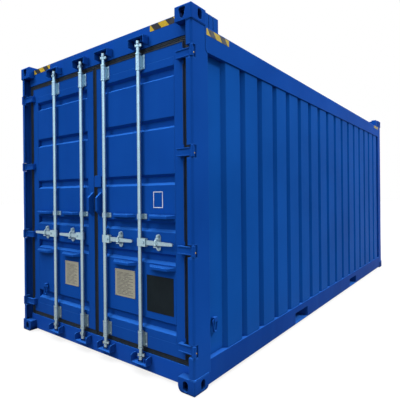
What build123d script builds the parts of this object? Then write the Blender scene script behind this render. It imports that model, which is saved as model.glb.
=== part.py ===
from build123d import *
import os

# Shipping container, 20 ft high cube, offshore type. Millimetres, +Z up.
# Origin under the middle of the container, on the ground.
# The doors are at the -Y end, the closed front wall is at the +Y end.

# Outer size of the container
LENGTH = 6058.0
WIDTH = 2438.0
HEIGHT = 2896.0

# How far a cut runs past the face that it goes through
CUT_OVER = 1.0

# Corner castings
CASTING_X = 162.0
CASTING_Y = 178.0
CASTING_Z = 118.0
CASTING_WALL = 28.0
CASTING_ROUND = 12.0
FOOT_ROUND = 18.0
FOOT_CURVE = 58.0
APERTURE_LONG = 124.0
APERTURE_WIDE = 63.5
APERTURE_IN_X = 89.5
APERTURE_IN_Y = 102.5
SIDE_HOLE_WIDE = 51.0
SIDE_HOLE_TALL = 79.5
SHIELD_WIDE = 64.0
SHIELD_TALL = 82.0
SHIELD_TOP_RADIUS = 13.0
SHIELD_FOOT_RADIUS = 19.0

# Posts, rails and end beams
SKIN_IN = 6.0
POST_LONG = 200.0
POST_SHEET = 6.0
POST_CORNER = 25.0
FLANGE_WIDE = 53.0
POST_BOX_WIDE = 63.0
POST_BOX_LONG = 112.0
TOP_RAIL_DROP = 126.0
TOP_RAIL_TALL = 193.0
TOP_RAIL_WIDE = 110.0
FRONT_POST_WIDE = TOP_RAIL_WIDE
RAIL_END_RADIUS = 30.0
BOTTOM_RAIL_LOW = 28.0
BOTTOM_RAIL_HIGH = 215.0
BOTTOM_RAIL_WEB = 8.0
BOTTOM_RAIL_WIDE = 63.0
BEAM_IN = 68.0
HEADER_DROP = 24.0
HEADER_TALL = 172.0
SILL_LOW = 26.0
SILL_TALL = 150.0
BLOCK_LONG = 179.0
BLOCK_WIDE = 77.0
BLOCK_DROP = 12.0
BLOCK_SKIN_IN = 9.0
BLOCK_GROOVES = (51.0, 108.0)
BLOCK_GROOVE_WIDE = 8.0
BLOCK_GROOVE_DEEP = 4.0

# Corrugated sheets
SHEET = 3.0
WALL_IN = 16.0
WALL_DEEP = 36.0
WALL_PITCH = 316.0
WALL_CREST = 220.0
WALL_FLANK = 32.0
WALL_FIRST_CREST = 263.0
FRONT_WALL_IN = 24.0
ROOF_PITCH = 209.0
ROOF_RIB_WIDE = 92.0
ROOF_RIB_HIGH = 20.0
ROOF_RIB_MARGIN = 70.0
ROOF_RIB_TAPER = 40.0
ROOF_SEAT = 25.0

# Floor and underframe
FLOOR_THICK = 24.0
FLOOR_IN = 74.0
MEMBER_PITCH = 290.0
MEMBER_TALL = 116.0
MEMBER_WIDE = 45.0
MEMBER_WEB = 5.0
FORK_APART = 2070.0
FORK_WIDE = 355.0
FORK_TALL = 112.0
FORK_PLATE = 4.0

# Door leaves
DOOR_THICK = 50.0
DOOR_GAP_LOW = 44.0
DOOR_GAP_HIGH = 39.0
DOOR_HALF_GAP = 22.0
DOOR_EDGE_IN = 136.0
STILE_HINGE = 95.0
STILE_LOCK = 88.0
DOOR_RAIL = 100.0
LOW_GROOVES = (426.0, 971.0, 1228.0)
TOP_GROOVE_DROP = 208.0
MIDDLE_GROOVE_SHARES = (0.3086, 0.675)
GROOVE_MOUTH = 88.0
GROOVE_FLOOR = 46.0
GROOVE_DEEP = 32.0
GASKET_IN = 4.0
GASKET_THICK = 26.0
GASKET_SIDE = 55.0
GASKET_CLEAR = 5.0
GASKET_HALF_GAP = 4.0
GASKET_GROOVES = (7.0, 20.0)
GASKET_GROOVE_WIDE = 5.0
GASKET_GROOVE_DEEP = 5.0

# Hinges
PIN_IN_X = 15.0
PIN_IN_Y = 17.0
PIN_RADIUS = 7.5
PIN_CLEAR = 0.5
KNUCKLE_RADIUS = 13.0
KNUCKLE_TALL = 84.0
KNUCKLE_ROOT = 32.0
HINGE_FROM_SILL = 149.0
HINGE_FROM_HEADER = 155.0
HINGE_COUNT = 4
BLADE_TALL = 62.0
BLADE_BEHIND_PIN = 8.0
BLADE_THICK = 20.0
BLADE_RIB = 8.0
BLADE_RECESS = 6.0
BLADE_PAD_FROM_EDGE = 41.0
BLADE_PAD_TO_EDGE = 8.0
HINGE_LUG = 8.0
HINGE_CLEAR = 4.0
NOTCH_LONG = 48.0

# Lock rods, bearings and cams
ROD_SHARES = (0.1395, 0.5655)
ROD_OUT = 30.0
ROD_RADIUS = 16.0
ROD_PAST_SILL = 4.0
ROD_PAST_HEADER = 9.0
ROD_CLEAR = 0.6
COLLAR_RADIUS = 24.0
COLLAR_THICK = 12.0
COLLAR_CLEAR = 1.5
SLEEVE_RADIUS = 22.0
SLEEVE_LONG = 116.0
SLEEVE_FROM_LOW = 8.0
SLEEVE_FROM_HIGH = 15.0
SADDLE_WIDE = 96.0
SADDLE_PLATE = 6.0
SADDLE_WEB = 30.0
GUIDE_LOW = 1285.0
GUIDE_TALL = 43.0
GUIDE_LEFT = 14.0
GUIDE_RIGHT = 58.0
CAM_BOSS = 20.0
CAM_BAR_TALL = 20.0
CAM_ARM_WIDE = 16.0
CAM_ARM_LONG = 42.0
CAM_EAR_LONG = 28.0
CAM_EAR_TURN = 225.0
CAM_NECK = 10.0
CAM_NECK_TALL = 6.0
CAM_HEAD = 18.0
CAM_HEAD_TALL = 26.0

# Keepers on header and sill
KEEPER_HALF = 93.0
KEEPER_OUT = 63.0
KEEPER_PLATE = 8.0
KEEPER_FROM_HEADER = 16.0
KEEPER_TALL = 71.0
KEEPER_RISE = 5.0
KEEPER_SHELF_DROP = 88.0
KEEPER_CHEEK_DROP = 18.0
KEEPER_NOSE_LONG = 24.0
KEEPER_NOSE_TALL = 10.0
KEEPER_LUG_FROM = 28.0
KEEPER_LUG_WIDE = 10.0
KEEPER_LUG_OUT = 32.0
KEEPER_LUG_CLEAR = 19.0

# Handles and catches
HANDLE_Z = 1096.0
HANDLE_PIVOT = 56.0
HANDLE_END_CLEAR = 86.0
HANDLE_TALL = 24.0
HANDLE_ROOT_TALL = 38.0
HANDLE_ROOT_LONG = 130.0
HANDLE_THICK = 14.0
HANDLE_FRONT_OF_ROD = 3.0
HANDLE_PIN = 6.0
HANDLE_PIN_CLEAR = 0.5
TONGUE_BACK = 20.0
CLEVIS_TALL = 66.0
CLEVIS_LONG = 78.0
CLEVIS_CHEEK = 7.0
CLEVIS_CLEAR = 1.0
CLEVIS_RADIUS = 24.0
CATCH_FROM_END = 179.0
CATCH_WIDE = 50.0
CATCH_BELOW = 64.0
CATCH_ABOVE = 71.0
CATCH_PLATE = 6.0
CATCH_SEAT_LONG = 44.0
CATCH_SEAT_THICK = 9.0
CATCH_SEAT_WIDE = 40.0
CATCH_CLEAR = 6.0

# Fittings welded on the doors
STEP_LOW_TOP = 916.0
STEP_HIGH_TOP = 1330.0
STEP_DEEP = 30.0
STEP_SLOPE = 15.0
STEP_LIP = 28.0
STEP_SHEET = 6.0
STEP_LIP_SHORT = 97.0
STEP_LIP_SLANT = 28.0
STEP_AFTER_ROD = 110.0
STEP_BEFORE_ROD = 45.0
STEP_BEFORE_EDGE = 69.0
STEP_AFTER_EDGE = 98.0
STEP_BEFORE_OUTER_ROD = 73.0
FIN_LOW = 1291.0
FIN_HIGH = 1514.0
FIN_CUT = 50.0
FIN_DEEP = 55.0
FIN_THICK = 27.0
RIGHT_FIN_FROM = 65.0
LEFT_FIN_FROM = 29.0
COVER_FROM = 5.0
COVER_TO = 98.0
COVER_LOW = 1561.0
COVER_HIGH = 1667.0
COVER_THICK = 14.0

# Tag line rings
RING_WIRE = 7.0
RING_HALF = 35.0
RING_DROP = 96.0
RING_FOOT = 14.0
RING_CORNER = 16.0
RING_OUT = 20.0
RING_LUG_LONG = 40.0
RING_LUG_TALL = 36.0
RING_LUG_DEEP = 30.0
RING_EYE_CLEAR = 1.5
WALL_RING_FROM_POST = 103.0
WALL_RING_Z = 488.0
DOOR_RING_FROM_EDGE = 250.0
DOOR_RING_Z = 534.0

# Places worked out from the sizes above
HX = WIDTH / 2
HY = LENGTH / 2
POST_X = HX - SKIN_IN
POST_Y = HY - SKIN_IN
CASTING_BACK = HY - CASTING_Y
POST_BACK = POST_Y - POST_LONG
POST_BOX_X = POST_X - POST_BOX_WIDE
FACE = -(HY - BEAM_IN)
BEAM_BACK = CASTING_BACK
UNDER_TOP_CASTING = HEIGHT - CASTING_Z
TOP_RAIL_HIGH = HEIGHT - TOP_RAIL_DROP
TOP_RAIL_LOW = TOP_RAIL_HIGH - TOP_RAIL_TALL
HEADER_HIGH = HEIGHT - HEADER_DROP
HEADER_LOW = HEADER_HIGH - HEADER_TALL
SILL_HIGH = SILL_LOW + SILL_TALL
BLOCK_HIGH = HEIGHT - BLOCK_DROP
DOOR_LOW = SILL_HIGH + DOOR_GAP_LOW
DOOR_HIGH = HEADER_LOW - DOOR_GAP_HIGH
DOOR_EDGE_X = HX - DOOR_EDGE_IN
WALL_X = HX - WALL_IN
FRONT_WALL_Y = HY - FRONT_WALL_IN
FLOOR_LOW = SILL_HIGH - FLOOR_THICK
PIN_X = HX - PIN_IN_X
PIN_Y = -(HY - PIN_IN_Y)
ROD_Y = FACE - ROD_OUT
HANDLE_Y = ROD_Y - HANDLE_FRONT_OF_ROD
HINGE_FIRST = SILL_HIGH + HINGE_FROM_SILL
HINGE_PITCH = (HEADER_LOW - HINGE_FROM_HEADER - HINGE_FIRST) / (HINGE_COUNT - 1)
HINGE_ZS = [HINGE_FIRST + HINGE_PITCH * i for i in range(HINGE_COUNT)]
TOP_GROOVE = DOOR_HIGH - TOP_GROOVE_DROP
GROOVE_RUN = TOP_GROOVE - LOW_GROOVES[-1]
MIDDLE_GROOVES = [LOW_GROOVES[-1] + share * GROOVE_RUN for share in MIDDLE_GROOVE_SHARES]
GROOVE_CENTRES = [*LOW_GROOVES, *MIDDLE_GROOVES, TOP_GROOVE]
INNER_ROD, OUTER_ROD = [DOOR_HALF_GAP + share * (DOOR_EDGE_X - DOOR_HALF_GAP) for share in ROD_SHARES]
ROD_XS = (INNER_ROD, OUTER_ROD)
ROD_LOW = SILL_HIGH - ROD_PAST_SILL
ROD_HIGH = HEADER_LOW + ROD_PAST_HEADER
SLEEVE_LOW = DOOR_LOW + SLEEVE_FROM_LOW
SLEEVE_HIGH = DOOR_HIGH - SLEEVE_FROM_HIGH - SLEEVE_LONG
HANDLE_LONG = OUTER_ROD - INNER_ROD - HANDLE_END_CLEAR
KEEPER_FRONT = FACE - KEEPER_OUT
KEEPER_LOW = HEADER_LOW + KEEPER_FROM_HEADER
KEEPER_ROOF = KEEPER_LOW + KEEPER_TALL - KEEPER_PLATE
KEEPER_SHELF = SILL_HIGH - KEEPER_SHELF_DROP + KEEPER_PLATE
FORK_LOW = FLOOR_LOW - FORK_PLATE - FORK_TALL
FORK_CENTRES = (-FORK_APART / 2, FORK_APART / 2)


def block(x0, x1, y0, y1, z0, z1):
    """Box between two corners."""
    middle = Pos((x0 + x1) / 2, (y0 + y1) / 2, (z0 + z1) / 2)
    return middle * Box(abs(x1 - x0), abs(y1 - y0), abs(z1 - z0))


def outline(points, rounds=()):
    """Face inside the points, with a radius at each corner that rounds names."""
    face = make_face(Polyline(*points, close=True))
    for corner, radius in rounds:
        face = fillet(face.vertices().sort_by_distance((*corner, 0))[0], radius)
    return face


def prism_x(points, x0, x1, rounds=()):
    """Outline of (y, z) points, extruded from x0 to x1."""
    return extrude(Plane.YZ.offset(x0) * outline(points, rounds), x1 - x0)


def prism_y(points, y0, y1, rounds=()):
    """Outline of (x, z) points, extruded from y0 to y1."""
    return extrude(Plane.XZ.offset(-y1) * outline(points, rounds), y1 - y0)


def prism_z(points, z0, z1, rounds=()):
    """Outline of (x, y) points, extruded from z0 to z1."""
    return extrude(Plane.XY.offset(z0) * outline(points, rounds), z1 - z0)


def corners(u0, u1, v0, v1):
    """Points of a rectangle."""
    return [(u0, v0), (u1, v0), (u1, v1), (u0, v1)]


def upright(x, y, radius, z0, z1):
    """Round bar standing on z0."""
    return Pos(x, y, (z0 + z1) / 2) * Cylinder(radius, z1 - z0)


def bar_y(x, z, radius, y0, y1):
    """Round bar along Y."""
    return Pos(x, (y0 + y1) / 2, z) * Rot(90, 0, 0) * Cylinder(radius, y1 - y0)


def bar_x(y, z, radius, x0, x1):
    """Round bar along X."""
    return Pos((x0 + x1) / 2, y, z) * Rot(0, 90, 0) * Cylinder(radius, x1 - x0)


def flip_x(shape):
    return mirror(shape, about=Plane.YZ)


def flip_y(shape):
    return mirror(shape, about=Plane.XZ)


def save(node, *shapes):
    """Write the solids of one node to its file."""
    solids = [solid for shape in shapes for solid in shape.solids()]
    export_step(Compound(solids), f"parts/{node}.step")


def slot_hole(plane, long, wide, depth, turn):
    """Slot with round ends through a casting wall, centred on the plane."""
    return extrude(plane * Rot(0, 0, turn) * SlotOverall(long, wide), depth, both=True)


def shield_hole(plane, depth):
    """Hole that is wide at its top and rounded to a narrow foot."""
    top_x = SHIELD_WIDE / 2 - SHIELD_TOP_RADIUS
    top_z = SHIELD_TALL / 2 - SHIELD_TOP_RADIUS
    foot_z = SHIELD_FOOT_RADIUS - SHIELD_TALL / 2
    rounds = [Pos(-top_x, top_z) * Circle(SHIELD_TOP_RADIUS)]
    rounds.append(Pos(top_x, top_z) * Circle(SHIELD_TOP_RADIUS))
    rounds.append(Pos(0, foot_z) * Circle(SHIELD_FOOT_RADIUS))
    edges = [edge for ring in rounds for edge in ring.edges()]
    return extrude(plane * make_hull(edges), depth, both=True)


def casting_block(top, low, high):
    """Outer form of a casting: round outer edges, and a foot that curves up to its neighbours."""
    x_in = HX - CASTING_X
    y_in = -CASTING_BACK
    if top:
        end_rounds = [((HX, high), CASTING_ROUND)]
        side_rounds = [((-HY, high), CASTING_ROUND)]
    else:
        end_rounds = [((HX, low), FOOT_ROUND), ((x_in, low), FOOT_CURVE)]
        side_rounds = [((-HY, low), FOOT_ROUND), ((y_in, low), FOOT_CURVE)]
    body = prism_y(corners(x_in, HX, low, high), -HY, y_in, end_rounds)
    body &= prism_x(corners(-HY, y_in, low, high), x_in, HX, side_rounds)
    return body & prism_z(corners(x_in, HX, -HY, y_in), low, high, [((HX, -HY), CASTING_ROUND)])


def casting(top):
    """Corner casting at +X, -Y: hollow, with an end hole, a side hole and an aperture."""
    low = HEIGHT - CASTING_Z if top else 0.0
    high = low + CASTING_Z
    inner = block(
        HX - CASTING_X + CASTING_WALL, HX - CASTING_WALL,
        -HY + CASTING_WALL, -CASTING_BACK - CASTING_WALL,
        low + CASTING_WALL, high - CASTING_WALL)
    centre_x = HX - APERTURE_IN_X
    centre_y = -HY + APERTURE_IN_Y
    centre_z = (low + high) / 2
    mouth = high if top else low
    flat = Plane((centre_x, centre_y, mouth))
    end = Plane((centre_x, -HY, centre_z), x_dir=(1, 0, 0), z_dir=(0, -1, 0))
    side = Plane((HX, centre_y, centre_z), x_dir=(0, 1, 0), z_dir=(1, 0, 0))
    through = CASTING_WALL + CUT_OVER
    body = casting_block(top, low, high) - inner
    body -= slot_hole(flat, APERTURE_LONG, APERTURE_WIDE, through, 90)
    body -= slot_hole(side, SIDE_HOLE_TALL, SIDE_HOLE_WIDE, through, 90)
    if top:
        return body - shield_hole(end, through)
    return body - slot_hole(end, SIDE_HOLE_TALL, SIDE_HOLE_WIDE, through, 90)


def four_corners(shape):
    """The shape at +X, -Y and its three mirror images."""
    pair = [shape, flip_x(shape)]
    return pair + [flip_y(each) for each in pair]


def rear_post():
    """Right door post: side plate, front flange with a round corner, and a closed box behind."""
    front = -POST_Y
    inner_x = POST_X - POST_SHEET
    plate = block(inner_x, POST_X, front, -POST_BACK, CASTING_Z, UNDER_TOP_CASTING)
    flange = block(POST_X - FLANGE_WIDE, POST_X, front, front + POST_SHEET, CASTING_Z, UNDER_TOP_CASTING)
    box = block(POST_BOX_X, POST_X, -POST_BACK - POST_BOX_LONG, -POST_BACK, CASTING_Z, UNDER_TOP_CASTING)
    corner = block(
        POST_X - POST_CORNER, POST_X, front, front + POST_CORNER, CASTING_Z, UNDER_TOP_CASTING)
    bend_x = POST_X - POST_CORNER
    bend_y = front + POST_CORNER
    ring = upright(bend_x, bend_y, POST_CORNER, CASTING_Z, UNDER_TOP_CASTING)
    ring -= upright(bend_x, bend_y, POST_CORNER - POST_SHEET, CASTING_Z, UNDER_TOP_CASTING)
    post = plate + flange - corner + (ring & corner) + box
    for z in HINGE_ZS:
        half = KNUCKLE_TALL / 2 + HINGE_CLEAR + HINGE_LUG
        post -= block(
            POST_X - FLANGE_WIDE - CUT_OVER, POST_X + CUT_OVER, front - CUT_OVER, front + NOTCH_LONG,
            z - half, z + half)
    return post - rail_lap()


def rail_lap():
    """What a post gives up to the end of the top side rail, up to the casting."""
    over = block(
        POST_X - TOP_RAIL_WIDE, POST_X, -CASTING_BACK, -POST_BACK, TOP_RAIL_HIGH, UNDER_TOP_CASTING)
    return top_rail_end() + over


def top_rail_end():
    """Outline of the end of a top side rail, with a round lower corner, as it laps the post."""
    low_y = -CASTING_BACK
    rounds = [((low_y, TOP_RAIL_LOW), RAIL_END_RADIUS)]
    return prism_x(
        corners(low_y, 0, TOP_RAIL_LOW, TOP_RAIL_HIGH), POST_X - TOP_RAIL_WIDE, POST_X, rounds)


def top_rail():
    half = top_rail_end()
    return half + flip_y(half)


def front_post():
    """Closed post at the front wall, with the same round outer corner."""
    post = block(
        POST_X - FRONT_POST_WIDE, POST_X, POST_BACK, POST_Y, CASTING_Z, UNDER_TOP_CASTING)
    edge = post.edges().filter_by(Axis.Z).sort_by_distance((POST_X, POST_Y, HEIGHT / 2))[0]
    return fillet(edge, POST_CORNER) - flip_y(rail_lap())


def end_beam(low, high, split_low, split_high, end_x):
    """Beam across the door end: narrow between castings, wider between the posts."""
    narrow = HX - CASTING_X
    beam = block(-narrow, narrow, FACE, -BEAM_BACK, low, high)
    return beam + block(-end_x, end_x, FACE, -BEAM_BACK, split_low, split_high)


def door_header():
    return end_beam(HEADER_LOW, HEADER_HIGH, HEADER_LOW, UNDER_TOP_CASTING, POST_BOX_X)


def door_sill():
    return end_beam(SILL_LOW, SILL_HIGH, CASTING_Z, SILL_HIGH, POST_BOX_X)


def front_header():
    end_x = POST_X - FRONT_POST_WIDE
    return flip_y(end_beam(HEADER_LOW, HEADER_HIGH, HEADER_LOW, UNDER_TOP_CASTING, end_x))


def front_sill():
    end_x = POST_X - FRONT_POST_WIDE
    return flip_y(end_beam(SILL_LOW, SILL_HIGH, CASTING_Z, SILL_HIGH, end_x))


def corner_block():
    """Ribbed block behind a top casting, on the side rail."""
    outer = HX - BLOCK_SKIN_IN
    start = -CASTING_BACK
    body = block(outer - BLOCK_WIDE, outer, start, start + BLOCK_LONG, TOP_RAIL_HIGH, BLOCK_HIGH)
    for place in BLOCK_GROOVES:
        y = start + place
        body -= block(
            outer - BLOCK_GROOVE_DEEP, outer + CUT_OVER,
            y - BLOCK_GROOVE_WIDE / 2, y + BLOCK_GROOVE_WIDE / 2,
            TOP_RAIL_HIGH - CUT_OVER, BLOCK_HIGH + CUT_OVER)
    return body


def bottom_rail():
    """Channel along the side, notched over the castings, with two fork openings."""
    web_in = POST_X - BOTTOM_RAIL_WEB
    flange_in = POST_X - BOTTOM_RAIL_WIDE
    end = CASTING_BACK
    rail = block(flange_in, POST_X, -end, end, BOTTOM_RAIL_LOW, BOTTOM_RAIL_HIGH)
    rail -= block(
        flange_in - CUT_OVER, web_in, -end - CUT_OVER, end + CUT_OVER,
        BOTTOM_RAIL_LOW + BOTTOM_RAIL_WEB, BOTTOM_RAIL_HIGH - BOTTOM_RAIL_WEB)
    for sign in (-1, 1):
        rail -= block(
            flange_in - CUT_OVER, POST_X + CUT_OVER, sign * POST_BACK, sign * (end + CUT_OVER),
            CASTING_Z, BOTTOM_RAIL_HIGH + CUT_OVER)
    for y in FORK_CENTRES:
        rail -= block(
            web_in - CUT_OVER, POST_X + CUT_OVER, y - FORK_WIDE / 2, y + FORK_WIDE / 2,
            FORK_LOW, FORK_LOW + FORK_TALL)
    return rail


def fold_line(start, end, first_crest, deep):
    """Points (along, out) of a corrugated sheet's outer face: crests at 0, flats at -deep."""
    points = [(start, -deep)]
    crest = start + first_crest
    while crest + WALL_CREST + WALL_FLANK < end:
        points.append((crest - WALL_FLANK, -deep))
        points.append((crest, 0.0))
        points.append((crest + WALL_CREST, 0.0))
        points.append((crest + WALL_CREST + WALL_FLANK, -deep))
        crest += WALL_PITCH
    points.append((end, -deep))
    return points


def side_wall():
    """Right wall: vertical corrugations between the rails."""
    outer = fold_line(-POST_BACK, POST_BACK, WALL_FIRST_CREST, WALL_DEEP)
    line = [(WALL_X + out, along) for along, out in outer]
    line += [(x - SHEET, y) for x, y in reversed(line)]
    return prism_z(line, BOTTOM_RAIL_HIGH, TOP_RAIL_LOW)


def front_wall():
    """Closed end: vertical corrugations between the front posts, spread evenly."""
    half = POST_X - FRONT_POST_WIDE
    count = int((2 * half - WALL_CREST - 2 * WALL_FLANK) // WALL_PITCH) + 1
    first = half - (WALL_CREST + (count - 1) * WALL_PITCH) / 2
    outer = fold_line(-half, half, first, WALL_DEEP)
    line = [(along, FRONT_WALL_Y + out) for along, out in outer]
    line += [(x, y - SHEET) for x, y in reversed(line)]
    return prism_z(line, SILL_HIGH, HEADER_LOW)


def roof():
    """Flat sheet on the side rails with pressed ribs across it."""
    half_x = POST_X - TOP_RAIL_WIDE + ROOF_SEAT
    half_y = BEAM_BACK
    rib_long = 2 * (POST_X - TOP_RAIL_WIDE - ROOF_RIB_MARGIN)
    count = int((2 * half_y - ROOF_PITCH) // ROOF_PITCH)
    base = Rectangle(rib_long, ROOF_RIB_WIDE)
    crown = Rectangle(rib_long - 2 * ROOF_RIB_TAPER, ROOF_RIB_WIDE - ROOF_RIB_TAPER)
    rib = loft([base, Pos(0, 0, ROOF_RIB_HIGH) * crown])
    sheet = block(-half_x, half_x, -half_y, half_y, TOP_RAIL_HIGH, TOP_RAIL_HIGH + SHEET)
    first = -(count - 1) / 2 * ROOF_PITCH
    places = [first + i * ROOF_PITCH for i in range(count)]
    ribs = [Pos(0, y, TOP_RAIL_HIGH + SHEET) * rib for y in places]
    hollows = [Pos(0, y, TOP_RAIL_HIGH) * rib for y in places]
    return sheet + ribs - hollows


def floor():
    """Timber deck on the cross members, cut out round the front posts."""
    half = HX - FLOOR_IN
    deck = block(-half, half, -BEAM_BACK, BEAM_BACK, FLOOR_LOW, SILL_HIGH)
    post = block(
        POST_X - FRONT_POST_WIDE, POST_X, POST_BACK, POST_Y, FLOOR_LOW - CUT_OVER, SILL_HIGH + CUT_OVER)
    return deck - post - flip_x(post)


def cross_member(y):
    """Channel across the underframe, open towards the front."""
    half = POST_X - BOTTOM_RAIL_WEB
    low = FLOOR_LOW - MEMBER_TALL
    section = [
        (y, low), (y + MEMBER_WIDE, low), (y + MEMBER_WIDE, low + MEMBER_WEB),
        (y + MEMBER_WEB, low + MEMBER_WEB), (y + MEMBER_WEB, FLOOR_LOW - MEMBER_WEB),
        (y + MEMBER_WIDE, FLOOR_LOW - MEMBER_WEB), (y + MEMBER_WIDE, FLOOR_LOW), (y, FLOOR_LOW)]
    return prism_x(section, -half, half)


def cross_members():
    """Members at an even pitch, left out where a fork pocket runs."""
    count = int(2 * BEAM_BACK // MEMBER_PITCH)
    first = -(count - 1) / 2 * MEMBER_PITCH - MEMBER_WIDE / 2
    reach = FORK_WIDE / 2 + FORK_PLATE
    members = []
    for i in range(count):
        y = first + i * MEMBER_PITCH
        if all(y + MEMBER_WIDE < fork - reach or y > fork + reach for fork in FORK_CENTRES):
            members.append(cross_member(y))
    return members


def fork_plates():
    """Top and bottom plates of the fork pockets."""
    half_x = POST_X - BOTTOM_RAIL_WIDE
    half_y = FORK_WIDE / 2 + FORK_PLATE
    plates = []
    for y in FORK_CENTRES:
        for low in (FORK_LOW - FORK_PLATE, FORK_LOW + FORK_TALL):
            plates.append(block(-half_x, half_x, y - half_y, y + half_y, low, low + FORK_PLATE))
    return plates


def fork_sides():
    """Upright plates of the fork pockets."""
    half_x = POST_X - BOTTOM_RAIL_WEB
    sides = []
    for y in FORK_CENTRES:
        for edge in (y - FORK_WIDE / 2 - FORK_PLATE, y + FORK_WIDE / 2):
            sides.append(block(-half_x, half_x, edge, edge + FORK_PLATE, FORK_LOW, FORK_LOW + FORK_TALL))
    return sides


def hinge_bracket(z):
    """Pin between two lugs, closing the notch of the right post at the top and the bottom."""
    half = KNUCKLE_TALL / 2 + HINGE_CLEAR
    front = -POST_Y
    shape = upright(PIN_X, PIN_Y, PIN_RADIUS, z - half, z + half)
    for low in (z - half - HINGE_LUG, z + half):
        lug = block(
            POST_X - FLANGE_WIDE, POST_X, front, front + NOTCH_LONG, low, low + HINGE_LUG)
        edge = lug.edges().filter_by(Axis.Z).sort_by_distance((POST_X, front, low))[0]
        shape += fillet(edge, POST_CORNER)
    return shape


def keeper_cheeks(rod_x):
    """Side plates of the keepers on header and sill, on both sides of a rod."""
    upper = [
        (FACE, KEEPER_LOW), (KEEPER_FRONT, KEEPER_LOW + KEEPER_RISE),
        (KEEPER_FRONT, KEEPER_ROOF), (FACE, KEEPER_ROOF)]
    high = SILL_HIGH - KEEPER_CHEEK_DROP
    lower = [
        (FACE, KEEPER_SHELF), (KEEPER_FRONT, KEEPER_SHELF), (KEEPER_FRONT, high - KEEPER_NOSE_TALL),
        (KEEPER_FRONT + KEEPER_NOSE_LONG, high), (FACE, high)]
    cheeks = []
    for x in (rod_x - KEEPER_HALF, rod_x + KEEPER_HALF - KEEPER_PLATE):
        cheeks.append(prism_x(upper, x, x + KEEPER_PLATE))
        cheeks.append(prism_x(lower, x, x + KEEPER_PLATE))
    return cheeks


def keeper_plates(rod_x):
    """Roof plate of the header keeper and shelf of the sill keeper."""
    left = rod_x - KEEPER_HALF
    right = rod_x + KEEPER_HALF
    roof_plate = block(left, right, KEEPER_FRONT, FACE, KEEPER_ROOF, KEEPER_ROOF + KEEPER_PLATE)
    shelf = block(left, right, KEEPER_FRONT, FACE, KEEPER_SHELF - KEEPER_PLATE, KEEPER_SHELF)
    return [roof_plate, shelf]


def keeper_lugs(rod_x):
    """Lugs on both sides of a cam's head, on the plates of the keepers."""
    past = CAM_BAR_TALL + KEEPER_LUG_CLEAR
    lugs = []
    for left in (rod_x - KEEPER_LUG_FROM - KEEPER_LUG_WIDE, rod_x + KEEPER_LUG_FROM):
        right = left + KEEPER_LUG_WIDE
        lugs.append(block(left, right, FACE - KEEPER_LUG_OUT, FACE, ROD_HIGH + past, KEEPER_ROOF))
        lugs.append(block(left, right, FACE - KEEPER_LUG_OUT, FACE, KEEPER_SHELF, ROD_LOW - past))
    return lugs


def cam_arm(rod_x, low, high, turn, reach):
    """Bar with round ends, from the rod's axis out to its reach."""
    long = reach + CAM_ARM_WIDE / 2
    bar = Pos((reach - CAM_ARM_WIDE / 2) / 2, 0) * SlotOverall(long, CAM_ARM_WIDE)
    return extrude(Plane((rod_x, ROD_Y, low)) * Rot(0, 0, turn) * bar, high - low)


def cam(rod_x, end, way):
    """Cam on one end of a right-door rod: cross bar with arm and ear, neck, and head."""
    bar_end = end + way * CAM_BAR_TALL
    neck_end = bar_end + way * CAM_NECK_TALL
    head_end = neck_end + way * CAM_HEAD_TALL
    low, high = sorted((end, bar_end))
    shape = upright(rod_x, ROD_Y, CAM_BOSS, low, high)
    shape += cam_arm(rod_x, low, high, 0, CAM_ARM_LONG)
    shape += cam_arm(rod_x, low, high, CAM_EAR_TURN, CAM_EAR_LONG)
    shape += upright(rod_x, ROD_Y, CAM_NECK, *sorted((bar_end, neck_end)))
    return shape + upright(rod_x, ROD_Y, CAM_HEAD, *sorted((neck_end, head_end)))


def cams(rod_x):
    return [cam(rod_x, ROD_LOW, -1), cam(rod_x, ROD_HIGH, 1)]


def lock_rod(rod_x):
    """Right-door rod with its collars and the clevis that carries the handle."""
    rod = upright(rod_x, ROD_Y, ROD_RADIUS, ROD_LOW, ROD_HIGH)
    for sleeve in (SLEEVE_LOW, SLEEVE_HIGH):
        below = sleeve - COLLAR_CLEAR - COLLAR_THICK
        above = sleeve + SLEEVE_LONG + COLLAR_CLEAR
        for low in (below, above):
            rod += upright(rod_x, ROD_Y, COLLAR_RADIUS, low, low + COLLAR_THICK)
    low = HANDLE_Z - CLEVIS_TALL / 2
    high = HANDLE_Z + CLEVIS_TALL / 2
    rod += upright(rod_x, ROD_Y, CLEVIS_RADIUS, low, high)
    slot = HANDLE_THICK / 2 + CLEVIS_CLEAR
    outer = slot + CLEVIS_CHEEK
    cheeks = block(rod_x, rod_x + CLEVIS_LONG, HANDLE_Y - outer, HANDLE_Y + outer, low, high)
    cheeks -= block(
        rod_x + CLEVIS_RADIUS, rod_x + CLEVIS_LONG + CUT_OVER, HANDLE_Y - slot, HANDLE_Y + slot,
        low - CUT_OVER, high + CUT_OVER)
    pin = bar_y(rod_x + HANDLE_PIVOT, HANDLE_Z, HANDLE_PIN, HANDLE_Y - outer, HANDLE_Y + outer)
    return rod + cheeks + pin


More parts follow.
